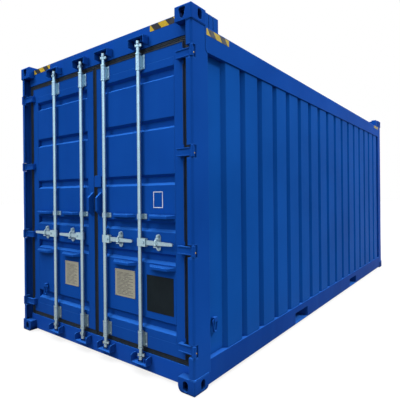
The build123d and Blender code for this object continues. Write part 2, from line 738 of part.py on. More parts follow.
def handle(rod_x):
    """Flat bar that narrows to a round end, and a tongue that turns on the clevis pin."""
    pivot = rod_x + HANDLE_PIVOT
    front = HANDLE_Y - HANDLE_THICK / 2
    back = HANDLE_Y + HANDLE_THICK / 2
    end = rod_x + HANDLE_LONG - HANDLE_TALL / 2
    root = HANDLE_ROOT_TALL / 2
    half = HANDLE_TALL / 2
    taper_start = rod_x + HANDLE_ROOT_LONG
    points = [
        (pivot, HANDLE_Z - root), (taper_start, HANDLE_Z - root), (end, HANDLE_Z - half),
        (end, HANDLE_Z + half), (taper_start, HANDLE_Z + root), (pivot, HANDLE_Z + root)]
    bar = prism_y(points, front, back)
    bar += bar_y(end, HANDLE_Z, half, front, back)
    bar += bar_y(pivot, HANDLE_Z, root, front, back) & block(
        pivot - TONGUE_BACK, pivot, front, back, HANDLE_Z - root, HANDLE_Z + root)
    return bar - bar_y(pivot, HANDLE_Z, HANDLE_PIN + HANDLE_PIN_CLEAR, front - CUT_OVER, back + CUT_OVER)


def door_frame():
    """Right door: welded frame of two stiles and two rails."""
    outer = block(DOOR_HALF_GAP, DOOR_EDGE_X, FACE, FACE + DOOR_THICK, DOOR_LOW, DOOR_HIGH)
    inner = block(
        DOOR_HALF_GAP + STILE_LOCK, DOOR_EDGE_X - STILE_HINGE, FACE - CUT_OVER, FACE + DOOR_THICK + CUT_OVER,
        DOOR_LOW + DOOR_RAIL, DOOR_HIGH - DOOR_RAIL)
    return outer - inner


def door_panel():
    """Right door: pressed sheet with level grooves, flush with the frame."""
    low = DOOR_LOW + DOOR_RAIL
    high = DOOR_HIGH - DOOR_RAIL
    line = [(FACE, low)]
    for centre in GROOVE_CENTRES:
        line.append((FACE, centre - GROOVE_MOUTH / 2))
        line.append((FACE + GROOVE_DEEP, centre - GROOVE_FLOOR / 2))
        line.append((FACE + GROOVE_DEEP, centre + GROOVE_FLOOR / 2))
        line.append((FACE, centre + GROOVE_MOUTH / 2))
    line.append((FACE, high))
    line += [(y + SHEET, z) for y, z in reversed(line)]
    return prism_x(line, DOOR_HALF_GAP + STILE_LOCK, DOOR_EDGE_X - STILE_HINGE)


def around_leaf(margin, front, back):
    """Block as large as the right leaf and a margin all round."""
    return block(
        DOOR_HALF_GAP - margin, DOOR_EDGE_X + margin, front, back, DOOR_LOW - margin, DOOR_HIGH + margin)


def door_gasket():
    """Right door: rubber strip all round the leaf, just behind its face, with grooves between its lips."""
    front = FACE + GASKET_IN
    back = front + GASKET_THICK
    strip = block(
        GASKET_HALF_GAP, DOOR_EDGE_X + GASKET_SIDE, front, back,
        SILL_HIGH + GASKET_CLEAR, HEADER_LOW - GASKET_CLEAR)
    strip -= around_leaf(0, front - CUT_OVER, back + CUT_OVER)
    floor_y = front + GASKET_GROOVE_DEEP
    for place in GASKET_GROOVES:
        groove = around_leaf(place + GASKET_GROOVE_WIDE, front - CUT_OVER, floor_y)
        strip -= groove - around_leaf(place, front - CUT_OVER, floor_y)
    return strip


def hinge_blade(z):
    """Right door: pad on the stile, ribbed blade across the gasket, and knuckle round the pin."""
    low = z - BLADE_TALL / 2
    high = z + BLADE_TALL / 2
    front = PIN_Y + BLADE_BEHIND_PIN
    back = front + BLADE_THICK
    start = DOOR_EDGE_X - BLADE_PAD_FROM_EDGE
    pad_end = DOOR_EDGE_X - BLADE_PAD_TO_EDGE
    root = PIN_X - KNUCKLE_ROOT
    plan = [
        (start, FACE), (start, front), (PIN_X, front), (PIN_X, back), (pad_end, back), (pad_end, FACE)]
    blade = prism_z(plan, low, high)
    blade -= block(
        start - CUT_OVER, root, front - CUT_OVER, front + BLADE_RECESS, low + BLADE_RIB, high - BLADE_RIB)
    low = z - KNUCKLE_TALL / 2
    high = z + KNUCKLE_TALL / 2
    blade += block(root, PIN_X, front, back, low, high)
    blade += block(PIN_X - KNUCKLE_RADIUS, PIN_X, PIN_Y, front, low, high)
    blade += upright(PIN_X, PIN_Y, KNUCKLE_RADIUS, low, high)
    return blade - upright(PIN_X, PIN_Y, PIN_RADIUS + PIN_CLEAR, low - CUT_OVER, high + CUT_OVER)


def rod_bearing(rod_x, low):
    """Long sleeve on a saddle with a bolted plate."""
    high = low + SLEEVE_LONG
    plate = block(rod_x - SADDLE_WIDE / 2, rod_x + SADDLE_WIDE / 2, FACE - SADDLE_PLATE, FACE, low, high)
    web = block(rod_x - SADDLE_WEB / 2, rod_x + SADDLE_WEB / 2, ROD_Y, FACE - SADDLE_PLATE, low, high)
    sleeve = upright(rod_x, ROD_Y, SLEEVE_RADIUS, low, high)
    bore = upright(rod_x, ROD_Y, ROD_RADIUS + ROD_CLEAR, low - CUT_OVER, high + CUT_OVER)
    return plate + web + sleeve - bore


def rod_guide(rod_x):
    """Short eye at half height, bolted to the door on its right side."""
    high = GUIDE_LOW + GUIDE_TALL
    plate = block(rod_x - GUIDE_LEFT, rod_x + GUIDE_RIGHT, FACE - SADDLE_PLATE, FACE, GUIDE_LOW, high)
    web = block(rod_x - GUIDE_LEFT, rod_x + GUIDE_LEFT, ROD_Y, FACE - SADDLE_PLATE, GUIDE_LOW, high)
    eye = upright(rod_x, ROD_Y, SLEEVE_RADIUS, GUIDE_LOW, high)
    bore = upright(rod_x, ROD_Y, ROD_RADIUS + ROD_CLEAR, GUIDE_LOW - CUT_OVER, high + CUT_OVER)
    return plate + web + eye - bore


def rod_mounts(rod_xs):
    """All bearings and guides of one door."""
    pieces = []
    for x in rod_xs:
        pieces += [rod_bearing(x, SLEEVE_LOW), rod_bearing(x, SLEEVE_HIGH), rod_guide(x)]
    return pieces


def handle_catch(rod_x):
    """Right door: oval plate behind the handle, with a seat under it."""
    x = rod_x + HANDLE_LONG - CATCH_FROM_END
    middle = HANDLE_Z + (CATCH_ABOVE - CATCH_BELOW) / 2
    plane = Plane((x, FACE, middle), x_dir=(1, 0, 0), z_dir=(0, -1, 0))
    plate = extrude(plane * Rot(0, 0, 90) * SlotOverall(CATCH_ABOVE + CATCH_BELOW, CATCH_WIDE), CATCH_PLATE)
    top = HANDLE_Z - HANDLE_ROOT_TALL / 2 - CATCH_CLEAR
    seat = block(
        x - CATCH_SEAT_WIDE / 2, x + CATCH_SEAT_WIDE / 2, FACE - CATCH_SEAT_LONG, FACE,
        top - CATCH_SEAT_THICK, top)
    return plate + seat


def step(left, right, top):
    """Bent ledge: a tread that slopes out, and a lip that stops short of the right end."""
    front = FACE - STEP_DEEP
    bend = top - STEP_SLOPE
    low = bend - STEP_LIP
    section = [
        (FACE, top), (front, bend), (front, low), (front + STEP_SHEET, low),
        (front + STEP_SHEET, bend - STEP_SHEET), (FACE, top - STEP_SHEET)]
    ledge = prism_x(section, left, right)
    slant = [(left, low), (left + STEP_LIP_SLANT, low), (left, bend - STEP_SHEET)]
    ledge -= prism_y(slant, front - CUT_OVER, front + STEP_SHEET + CUT_OVER)
    return ledge - block(
        right - STEP_LIP_SHORT, right + CUT_OVER, front - CUT_OVER, front + STEP_SHEET + CUT_OVER,
        low - CUT_OVER, bend - STEP_SHEET)


def steps(bays):
    """A low and a high ledge in each bay of a door."""
    return [step(left, right, top) for left, right in bays for top in (STEP_LOW_TOP, STEP_HIGH_TOP)]


def right_bays():
    inner = (INNER_ROD + STEP_AFTER_ROD, OUTER_ROD - STEP_BEFORE_ROD)
    return [inner, (OUTER_ROD + STEP_AFTER_ROD, DOOR_EDGE_X - STEP_BEFORE_EDGE)]


def left_bays():
    inner = (STEP_AFTER_ROD - OUTER_ROD, -INNER_ROD - STEP_BEFORE_ROD)
    return [inner, (STEP_AFTER_EDGE - DOOR_EDGE_X, -OUTER_ROD - STEP_BEFORE_OUTER_ROD)]


def fin(left):
    """Pull plate that stands out from the door, cut off at both front corners."""
    front = FACE - FIN_DEEP
    points = [
        (FACE, FIN_LOW), (front, FIN_LOW + FIN_CUT), (front, FIN_HIGH - FIN_CUT), (FACE, FIN_HIGH)]
    return prism_x(points, left, left + FIN_THICK)


def ring(width, drop):
    """Tag line ring in the XZ plane, hanging from a straight top bar at the origin."""
    points = [(-width, 0, 0), (width, 0, 0), (RING_FOOT, 0, -drop), (-RING_FOOT, 0, -drop)]
    path = FilletPolyline(*points, radius=RING_CORNER, close=True)
    start = path.edges()[0]
    section = Plane(start @ 0.5, z_dir=start % 0.5) * Circle(RING_WIRE)
    return sweep(section, path)


def ring_lug():
    """Eye block for a ring, its eye along X at the origin, its back on +Y."""
    lug = block(
        -RING_LUG_LONG / 2, RING_LUG_LONG / 2, RING_OUT - RING_LUG_DEEP, RING_OUT,
        -RING_LUG_TALL / 2, RING_LUG_TALL / 2)
    return lug - bar_x(0, 0, RING_WIRE + RING_EYE_CLEAR, -RING_LUG_LONG, RING_LUG_LONG)


WALL_RING_Y = -(POST_BACK - WALL_RING_FROM_POST)
WALL_RING_PLACE = Pos(WALL_X - WALL_DEEP + RING_OUT, WALL_RING_Y, WALL_RING_Z) * Rot(0, 0, 90)
DOOR_RING_PLACE = Pos(DOOR_RING_FROM_EDGE - DOOR_EDGE_X, FACE - RING_OUT, DOOR_RING_Z)


def build_frame():
    """Everything that stays put."""
    save("top_castings", *four_corners(casting(True)))
    save("bottom_castings", *four_corners(casting(False)))
    save("corner_blocks", *four_corners(corner_block()))
    save("rear_posts", rear_post(), flip_x(rear_post()))
    save("front_posts", front_post(), flip_x(front_post()))
    save("door_header", door_header())
    save("door_sill", door_sill())
    save("front_header", front_header())
    save("front_sill", front_sill())
    save("top_side_rails", top_rail(), flip_x(top_rail()))
    save("bottom_side_rails", bottom_rail(), flip_x(bottom_rail()))
    save("right_wall", side_wall())
    save("left_wall", flip_x(side_wall()))
    save("front_wall", front_wall())
    save("roof", roof())
    save("floor", floor())
    save("cross_members", *cross_members())
    save("fork_plates", *fork_plates())
    save("fork_sides", *fork_sides())
    brackets = [hinge_bracket(z) for z in HINGE_ZS]
    save("hinge_brackets", *brackets, *[flip_x(each) for each in brackets])
    for node, maker in (
            ("keeper_cheeks", keeper_cheeks), ("keeper_plates", keeper_plates), ("keeper_lugs", keeper_lugs)):
        pieces = [piece for x in ROD_XS for piece in maker(x)]
        save(node, *pieces, *[flip_x(piece) for piece in pieces])
    wall_lug = WALL_RING_PLACE * ring_lug()
    save("wall_ring_lugs", wall_lug, flip_x(wall_lug))


def build_doors():
    """Both leaves with what is fixed to them."""
    blades = [hinge_blade(z) for z in HINGE_ZS]
    catches = [handle_catch(x) for x in ROD_XS]
    for side, turn in (("right", lambda shape: shape), ("left", flip_x)):
        save(f"{side}_door_frame", turn(door_frame()))
        save(f"{side}_door_panel", turn(door_panel()))
        save(f"{side}_door_gasket", turn(door_gasket()))
        save(f"{side}_door_hinges", *[turn(each) for each in blades])
        save(f"{side}_door_catches", *[turn(each) for each in catches])
    save("right_door_rod_mounts", *rod_mounts(ROD_XS))
    save("left_door_rod_mounts", *rod_mounts([-x for x in ROD_XS]))
    cover = block(COVER_FROM, COVER_TO, FACE - COVER_THICK, FACE, COVER_LOW, COVER_HIGH)
    save("right_door_fittings", *steps(right_bays()), fin(RIGHT_FIN_FROM), cover)
    save("left_door_fittings", *steps(left_bays()), fin(-LEFT_FIN_FROM - FIN_THICK))
    save("left_door_ring_lug", DOOR_RING_PLACE * ring_lug())


def build_lock_gear():
    """Rods, cams and handles, numbered from the left."""
    for x, left_number, right_number in ((OUTER_ROD, 1, 4), (INNER_ROD, 2, 3)):
        rod = lock_rod(x)
        cam_pair = cams(x)
        bar = handle(x)
        save(f"lock_rod_{right_number}", rod)
        save(f"lock_cams_{right_number}", *cam_pair)
        save(f"lock_handle_{right_number}", bar)
        save(f"lock_rod_{left_number}", flip_x(rod))
        save(f"lock_cams_{left_number}", *[flip_x(each) for each in cam_pair])
        save(f"lock_handle_{left_number}", flip_x(bar))


def build_rings():
    """Rings that hang in their lugs."""
    hoop = ring(RING_HALF, RING_DROP)
    wall_ring = WALL_RING_PLACE * hoop
    save("right_wall_ring", wall_ring)
    save("left_wall_ring", flip_x(wall_ring))
    save("left_door_ring", DOOR_RING_PLACE * hoop)


os.makedirs("parts", exist_ok=True)
build_frame()
build_doors()
build_lock_gear()
build_rings()
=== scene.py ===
import math

import bmesh
import bpy
from mathutils import Matrix, Vector


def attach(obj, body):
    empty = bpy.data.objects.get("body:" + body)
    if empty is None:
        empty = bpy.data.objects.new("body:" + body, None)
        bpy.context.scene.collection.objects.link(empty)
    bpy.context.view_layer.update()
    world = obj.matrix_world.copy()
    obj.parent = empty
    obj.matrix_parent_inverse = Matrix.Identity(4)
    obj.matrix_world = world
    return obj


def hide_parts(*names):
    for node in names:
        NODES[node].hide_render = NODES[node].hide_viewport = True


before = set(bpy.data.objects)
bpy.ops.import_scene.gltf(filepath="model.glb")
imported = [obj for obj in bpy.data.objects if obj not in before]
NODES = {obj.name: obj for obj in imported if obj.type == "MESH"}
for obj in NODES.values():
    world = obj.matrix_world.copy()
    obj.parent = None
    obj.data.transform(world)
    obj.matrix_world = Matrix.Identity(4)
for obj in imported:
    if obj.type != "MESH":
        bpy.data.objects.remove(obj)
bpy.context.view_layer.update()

# The way the doors face, and the bevel of small edges; lengths are in metres
OUT = (0, -1, 0)
SMALL_BEVEL = 0.001

# Door leaves and seals; the left door mirrors the right one; edges run left, right, low, high
FACE = -2.961
LEAF = (0.022, 1.083, 0.220, 2.661)
HINGE_ZS = (0.325, 1.065, 1.805, 2.545)
HINGE_PAD = 0.062
LIP_TOP = 0.008
LIP_SIDE = 0.006
LIP_MIDDLE = 0.010
LIP_PROUD = 0.003
PANEL_EDGES = (0.110, 0.988)
PANEL_ENDS = (0.320, 2.561)
GROOVES = (0.426, 0.971, 1.228, 1.606, 2.055, 2.453)
GROOVE_HALF = 0.044

# Lock gear
ROD_INNER = 0.170
ROD_OUTER = 0.622
RODS = {1: -ROD_OUTER, 2: -ROD_INNER, 3: ROD_INNER, 4: ROD_OUTER}
SLEEVE_ZS = (0.286, 2.588)
GUIDE_Z = 1.3065
HANDLE_Z = 1.096
HANDLE_FRONT = -3.001
CLEVIS_FRONT = -3.009
PIVOT_FROM_ROD = 0.056
CATCH_FROM_ROD = 0.187
CATCH_BOLT_ZS = (1.0475, 1.1500)
SADDLE_BOLT_X = 0.036
SADDLE_BOLT_Z = 0.042
GUIDE_BOLT_X = 0.043
GUIDE_BOLT_Z = 0.0115
BASE_THICK = 0.006

# How far a bolt is turned on its seat, in radians for each metre of its place
SADDLE_TURN = 9
GUIDE_TURN = 30
CATCH_TURN = 7

# Radii of the bolts, and the parts of a bolt as shares of its radius
SADDLE_BOLT = 0.0066
GUIDE_BOLT = 0.0058
CATCH_BOLT = 0.0065
PIVOT_BOLT = 0.0085
SMALL_BOLT = 0.0055
WASHER = {"wide": 1.55, "tall": 0.25, "bevel": 0.08, "corners": 20}
HEAD = {"wide": 1.12, "tall": 0.60, "bevel": 0.16, "corners": 6}

# Hooked strap on a handle: its middle line runs in y and z
HASP_LINE = ((-2.9795, 1.162), (-2.9795, 1.150), (-2.9835, 1.136), (-2.9955, 1.125),
             (-3.0038, 1.113), (-3.0056, 1.100), (-3.0056, 1.087), (-3.0100, 1.077))
HASP_STEPS = 5
HASP_HALF = 0.009
HASP_THICK = 0.005
HASP_EYE = 0.0125
HASP_EYE_PROUD = 0.0004
HASP_EYE_CORNERS = 22
HASP_FOOT_X = 0.021
HASP_FOOT_Z = 0.012
HASP_FOOT_THICK = 0.0028

# Steps, pull plates and the cover plate
STEP_BAYS = {1: ((0.258, 0.546), (0.702, 0.990)), -1: ((-0.530, -0.242), (-0.990, -0.702))}
STEP_TOPS = (0.916, 1.325)
STEP_DEEP = 0.051
STEP_FALL = 0.009
STEP_LIP = 0.021
STEP_SHEET = 0.005
DOT_ROWS = (0.22, 0.50, 0.78)
DOT_END = 0.014
DOT_PITCH = 0.0175
DOT_RADIUS = 0.0048
DOT_TALL = 0.0026
DOT_BEVEL = 0.0011
DOT_CORNERS = 8
FINS = {1: (0.065, 0.092), -1: (-0.056, -0.029)}
FIN_LOW = 1.291
FIN_HIGH = 1.514
FIN_CUT = 0.050
FIN_DEEP = 0.055
FIN_BEVEL = 0.0025
COVER = (0.005, 0.098, 1.561, 1.667)
COVER_ROUND = 0.010
COVER_THICK = 0.014
COVER_BEVEL = 0.003

# Plates: left, right, low and high edges
PLATES = {"left_data_plate": (-0.495, -0.273, 0.591, 0.830), "right_data_plate": (0.273, 0.528, 0.598, 0.835)}
PLATE_THICK = 0.003
RIVET_IN = 0.008
PLATE_ROWS = 17
ROWS_START = 0.08
ROWS_SHARE = 0.84
ROW_CUTS = (((0.10, 0.90),), ((0.10, 0.42), (0.47, 0.71)), ((0.10, 0.55), (0.60, 0.90)),
            ((0.10, 0.33), (0.38, 0.82)), ((0.10, 0.66),))
ROW_TALL = 0.0045
ROW_PROUD = 0.0005
ROW_BEVEL = 0.0002
DARK_PANEL = (0.669, 0.965, 0.527, 0.826)
DARK_THICK = 0.002
DARK_BEVEL = 0.0008
LABEL = (0.753, 0.857, 1.379, 1.511)
LABEL_LINE = 0.006
LABEL_THICK = 0.001

# Hazard tape
HEADER_TAPES = {"right_header_tape": (0.732, 1.054), "left_header_tape": (-1.054, -0.745)}
HEADER_TAPE_ZS = (2.818, 2.869)
RAIL_TAPES = {"rear": (-2.836, -2.520), "front": (2.520, 2.836)}
RAIL_TAPE_ZS = (2.713, 2.764)
RAIL_X = 1.213
TAPE_THICK = 0.0012
TAPE_BEVEL = 0.0004
BAR_LEAN = 0.843
BAR_PERIOD = 0.1622

# Grease nipples: a hexagon base and a round tip, each with radius, height and bevel
NIPPLE_X = 1.204
NIPPLE_Y = -2.992
NIPPLE_DROP = 0.012
NIPPLE_BASE = (0.0065, 0.003, 0.0006)
NIPPLE_TIP = (0.0042, 0.004, 0.0012)
NIPPLE_BASE_CORNERS = 6
NIPPLE_TIP_CORNERS = 14

# Weld beads
BEAD_SIDES = 6
BEAD_RIPPLE = 0.14
FRAME_BEAD_STEP = 0.003
FRAME_BEAD_PITCH = 0.012
DOOR_BEAD = 0.0024
DOOR_BEAD_STEP = 0.004
DOOR_BEAD_PITCH = 0.016
POST_BEAD = 0.0042
POST_BEAD_ZS = (0.1215, 2.7745)
POST_BEND_X = 1.188
POST_BEND_Y = -2.998
POST_BEND = 0.026
POST_BEAD_START_X = 1.161
POST_BEAD_END_Y = -2.852
LAP_BEAD = 0.0036
LAP_X = 1.2135
LAP_Y = -2.8505
LAP_HIGH = 2.768
LAP_LOW = 2.608
LAP_BEND_Z = 2.607
LAP_BEND = 0.030
ARC_STEPS = 8

# Studio: each lamp has a place, a point it aims at, its size in metres and its power in watts
FLOOR_HALF = 60.0
FLOOR_NEAR = 4.0
FLOOR_FAR = 9.0
FLOOR_NEAR_GLOW = 0.80
FLOOR_FAR_GLOW = 1.0
SKY_LIGHT = 0.28
SKY_SEEN = 1.0
LAMPS = {
    "overhead": ((0.5, -5.5, 11.0), (0.5, -5.5, 0.0), 12.0, 2050.0),
    "key": ((-6.0, -15.0, 12.0), (0.0, -3.0, 1.5), 5.0, 1150.0),
    "side": ((13.0, 7.0, 15.5), (1.2, 1.5, 1.4), 5.0, 3700.0),
    "fill": ((9.0, -13.0, 5.0), (0.5, -2.5, 1.4), 8.0, 260.0),
    "back": ((-14.0, 15.0, 7.0), (-0.5, 1.0, 1.4), 8.0, 4200.0)}

# Camera: place in metres, turns in degrees; the focal length and the principal point are in pixels
EYE = (2.928, -5.175, 1.489)
YAW = 37.09
PITCH = -0.05
ROLL = -0.55
PICTURE_SIDE = 400
FOCAL = 377.4
PRINCIPAL = (202.4, 194.2)
SENSOR = 36.0
CLIP_END = 400.0

# Colours, linear with alpha; pairs are the dark and the light end of a tone
BLUE = ((0.0036, 0.047, 0.262, 1), (0.0052, 0.060, 0.322, 1))
# Lit and shaded copies of the one blue paint: painted lighter on the side walls and sill, painted darker on
# the bottom rails, roof and castings
WALL_LIT_BLUE = ((0.0034, 0.058, 0.276, 1), (0.0050, 0.074, 0.342, 1))
RAIL_SHADED_BLUE = ((0.0026, 0.037, 0.225, 1), (0.0038, 0.047, 0.275, 1))
ROOF_SHADED_BLUE = ((0.0030, 0.036, 0.200, 1), (0.0042, 0.046, 0.245, 1))
CASTING_SHADED_BLUE = ((0.0028, 0.041, 0.245, 1), (0.0040, 0.052, 0.300, 1))
SILL_LIT_BLUE = ((0.0036, 0.052, 0.320, 1), (0.0052, 0.066, 0.390, 1))
STREAK_BLUE = (0.006, 0.078, 0.35, 1)
# Paler blue on edges: partly edge wear, partly a painted highlight
EDGE_WEAR_AND_HIGHLIGHT_BLUE = (0.035, 0.165, 0.56, 1)
# Paler blue on faces that look up: a painted sky highlight
SKY_HIGHLIGHT_BLUE = (0.020, 0.135, 0.54, 1)
# Near-black blue in corners and recesses: painted shade
CORNER_SHADE_BLUE = (0.0008, 0.010, 0.060, 1)
DUST = (0.10, 0.12, 0.15, 1)
ZINC = ((0.21, 0.285, 0.325, 1), (0.33, 0.43, 0.475, 1))
ROD_ZINC = ((0.255, 0.35, 0.385, 1), (0.345, 0.46, 0.50, 1))
ZINC_PATCH = (0.28, 0.34, 0.35, 1)
# Brighter, cooler zinc higher up: a painted sheen
ZINC_HIGH_SHEEN = (1.12, 1.34, 1.52, 1)
# Dark zinc in corners and gaps: painted shade
ZINC_CORNER_SHADE = (0.010, 0.020, 0.036, 1)
SEAL_BLACK = ((0.0042, 0.0085, 0.0145, 1), (0.0095, 0.0180, 0.0310, 1))
SEAL_DUST = (0.022, 0.034, 0.050, 1)
PLYWOOD = ((0.16, 0.085, 0.04, 1), (0.34, 0.20, 0.105, 1))
PLYWOOD_SEAM = (0.03, 0.018, 0.01, 1)
PLYWOOD_SCUFF = (0.30, 0.26, 0.22, 1)
PLATE_ALLOY = ((0.225, 0.217, 0.166, 1), (0.325, 0.315, 0.255, 1))
PLATE_RUBBED = (0.19, 0.19, 0.165, 1)
ETCHING = ((0.030, 0.031, 0.030, 1), (0.15, 0.15, 0.125, 1))
PANEL_BLACK = ((0.0042, 0.0080, 0.0110, 1), (0.0085, 0.0145, 0.0190, 1))
PANEL_SCUFF = (0.04, 0.05, 0.06, 1)
HEADER_YELLOW = ((0.40, 0.27, 0.014, 1), (0.50, 0.345, 0.024, 1))
RAIL_YELLOW = ((0.37, 0.285, 0.055, 1), (0.45, 0.345, 0.075, 1))
BRASS = ((0.35, 0.22, 0.05, 1), (0.60, 0.43, 0.14, 1))
VINYL = ((0.45, 0.50, 0.58, 1), (0.62, 0.66, 0.72, 1))
FLOOR_GREY = ((0.15, 0.15, 0.15, 1), (0.17, 0.17, 0.17, 1))
WHITE = (1, 1, 1, 1)
MASK = ((0, 0, 0, 1), WHITE)


# Node helpers for the materials
class Shader:
    """A material with a Principled shader, and short calls for the nodes that feed it."""

    def __init__(self, name):
        self.mat = bpy.data.materials.new(name)
        self.mat.use_nodes = True
        self.tree = self.mat.node_tree
        self.bsdf = self.tree.nodes["Principled BSDF"]
        self.coord = self.tree.nodes.new("ShaderNodeTexCoord").outputs["Object"]

    def node(self, kind, **inputs):
        made = self.tree.nodes.new(kind)
        for key, value in inputs.items():
            self.put(made.inputs[key.replace("_", " ")], value)
        return made

    def put(self, socket, value):
        if hasattr(value, "is_linked"):
            self.tree.links.new(value, socket)
        else:
            socket.default_value = value

    def noise(self, scale, detail=3.0, rough=0.55, at=None):
        made = self.node("ShaderNodeTexNoise", Scale=scale, Detail=detail, Roughness=rough)
        self.put(made.inputs["Vector"], self.coord if at is None else at)
        return made.outputs["Fac"]

    def stretch(self, scale):
        made = self.node("ShaderNodeMapping", Scale=scale)
        self.put(made.inputs["Vector"], self.coord)
        return made.outputs["Vector"]

    def ramp(self, fac, low, high, tones=MASK):
        made = self.node("ShaderNodeValToRGB", Fac=fac)
        for element, place, tone in zip(made.color_ramp.elements, (low, high), tones):
            element.position = place
            element.color = tone
        return made.outputs["Color"]

    def mix(self, fac, a, b, blend="MIX"):
        made = self.tree.nodes.new("ShaderNodeMix")
        made.data_type = "RGBA"
        made.blend_type = blend
        self.put(made.inputs[0], fac)
        self.put(made.inputs[6], a)
        self.put(made.inputs[7], b)
        return made.outputs[2]

    def math(self, op, a, b=0.0, c=0.0):
        made = self.tree.nodes.new("ShaderNodeMath")
        made.operation = op
        for socket, value in zip(made.inputs, (a, b, c)):
            self.put(socket, value)
        return made.outputs[0]

    def clamp(self, value):
        """Value held between none and one."""
        return self.math("MINIMUM", self.math("MAXIMUM", value, 0.0), 1.0)

    def span(self, fac, low, high):
        made = self.node("ShaderNodeMapRange", Value=fac)
        made.inputs["To Min"].default_value = low
        made.inputs["To Max"].default_value = high
        return made.outputs["Result"]

    def bump(self, height, strength, distance, normal=None):
        made = self.node("ShaderNodeBump", Height=height, Strength=strength, Distance=distance)
        if normal is not None:
            self.put(made.inputs["Normal"], normal)
        return made.outputs["Normal"]

    def soft_edge(self, radius):
        made = self.tree.nodes.new("ShaderNodeBevel")
        made.samples = 6
        made.inputs["Radius"].default_value = radius
        return made.outputs["Normal"]

    def edge_mask(self, rounded, gain):
        """How far a soft edge turns away from the flat face, for edges paled by wear and by a painted
        highlight.
        """
        flat = self.tree.nodes.new("ShaderNodeNewGeometry").outputs["Normal"]
        dot = self.tree.nodes.new("ShaderNodeVectorMath")
        dot.operation = "DOT_PRODUCT"
        self.put(dot.inputs[0], rounded)
        self.put(dot.inputs[1], flat)
        off = self.math("SUBTRACT", 1.0, dot.outputs["Value"])
        return self.math("MINIMUM", self.math("MULTIPLY", off, gain), 1.0)

    def nooks(self, reach, most):
        """How far a spot lies in a corner, for the painted shade there."""
        made = self.tree.nodes.new("ShaderNodeAmbientOcclusion")
        made.samples = 8
        made.inputs["Distance"].default_value = reach
        deep = self.math("POWER", self.math("SUBTRACT", 1.0, made.outputs["AO"]), 2.0)
        return self.math("MINIMUM", self.math("MULTIPLY", deep, most), 1.0)

    def facing_up(self, normal, start, full=0.8):
        """One on faces that look at the sky, none on upright ones."""
        rise = self.node("ShaderNodeSeparateXYZ", Vector=normal).outputs["Z"]
        return self.clamp(self.math("DIVIDE", self.math("SUBTRACT", rise, start), full - start))

    def xyz(self):
        return self.node("ShaderNodeSeparateXYZ", Vector=self.coord).outputs

    def set(self, **values):
        for key, value in values.items():
            self.put(self.bsdf.inputs[key.replace("_", " ")], value)
        return self.mat


def blue_paint(name="blue_paint", tones=BLUE, lighten=0.72, reach=0.04, corner_shade=1.1):
    """Sprayed marine paint: slow tone changes, orange peel, edges paled by wear and by a painted highlight, a
    painted sky highlight on faces that look up, dust, and painted shade in corners.
    """
    s = Shader(name)
    tone = s.ramp(s.noise(0.9, 4.0), 0.32, 0.68, tones)
    streak = s.ramp(s.noise(1.0, 5.0, 0.6, s.stretch((7.0, 7.0, 0.5))), 0.45, 0.8)
    tone = s.mix(s.math("MULTIPLY", streak, 0.22), tone, STREAK_BLUE)
    rounded = s.soft_edge(0.005)
    # Edges are paled: partly wear, partly a painted highlight
    edge = s.edge_mask(rounded, 3.0)
    worn = s.math("MULTIPLY", edge, s.span(s.noise(24.0, 3.0), 0.2, 0.75))
    tone = s.mix(worn, tone, EDGE_WEAR_AND_HIGHLIGHT_BLUE)
    # Faces that look up are lightened: a painted sky highlight
    tone = s.mix(s.math("MULTIPLY", s.facing_up(rounded, 0.25), lighten), tone, SKY_HIGHLIGHT_BLUE)
    low = s.math("SUBTRACT", 1.0, s.math("DIVIDE", s.xyz()["Z"], 0.5))
    low = s.math("MULTIPLY", s.math("MAXIMUM", low, 0.0), s.span(s.noise(5.0, 6.0), 0.0, 0.07))
    tone = s.mix(low, tone, DUST)
    # Corners and recesses are darkened: painted shade
    tone = s.mix(s.nooks(reach, corner_shade), tone, CORNER_SHADE_BLUE)
    peel = s.bump(s.noise(210.0, 2.0), 0.10, 0.0015, rounded)
    peel = s.bump(s.noise(2.2, 2.0), 0.10, 0.02, peel)
    rough = s.span(s.noise(14.0, 4.0), 0.34, 0.50)
    return s.set(Base_Color=tone, Roughness=rough, Normal=peel, Specular_IOR_Level=0.005)


def galvanised(name="galvanised", tones=ZINC):
    """Dipped zinc: faint spangle, matt patches, small pits, a painted cooler sheen higher up, and painted
    shade in corners.
    """
    s = Shader(name)
    cells = s.node("ShaderNodeTexVoronoi", Vector=s.coord, Scale=120.0)
    spangle = s.node("ShaderNodeSeparateXYZ", Vector=cells.outputs["Color"]).outputs["X"]
    tone = s.mix(s.span(spangle, 0.15, 0.75), *tones)
    patch = s.ramp(s.noise(16.0, 5.0), 0.42, 0.7)
    tone = s.mix(s.math("MULTIPLY", patch, 0.35), tone, ZINC_PATCH)
    # Zinc is brightened and cooled higher up: a painted sheen
    high = s.clamp(s.math("DIVIDE", s.math("SUBTRACT", s.xyz()["Z"], 0.5), 1.9))
    tone = s.mix(high, tone, ZINC_HIGH_SHEEN, "MULTIPLY")
    # Corners and gaps are darkened: painted shade
    tone = s.mix(s.nooks(0.008, 1.4), tone, ZINC_CORNER_SHADE)
    rough = s.math("ADD", s.span(spangle, 0.27, 0.38), s.span(s.noise(30.0), -0.04, 0.07))
    pits = s.bump(s.noise(260.0, 3.0), 0.12, 0.0012, s.soft_edge(0.0015))
    return s.set(Base_Color=tone, Roughness=rough, Normal=pits, Metallic=0.72)


def rubber(name="rubber"):
    """Extruded door seal: matt, with dust and a fine grain."""
    s = Shader(name)
    tone = s.ramp(s.noise(12.0, 6.0), 0.35, 0.7, SEAL_BLACK)
    specks = s.math("MULTIPLY", s.ramp(s.noise(140.0), 0.55, 0.75), 0.3)
    tone = s.mix(specks, tone, SEAL_DUST)
    grain = s.bump(s.noise(420.0, 2.0), 0.25, 0.001, s.soft_edge(0.004))
    rough = s.span(s.noise(40.0), 0.48, 0.66)
    return s.set(Base_Color=tone, Roughness=rough, Normal=grain, Specular_IOR_Level=0.12)


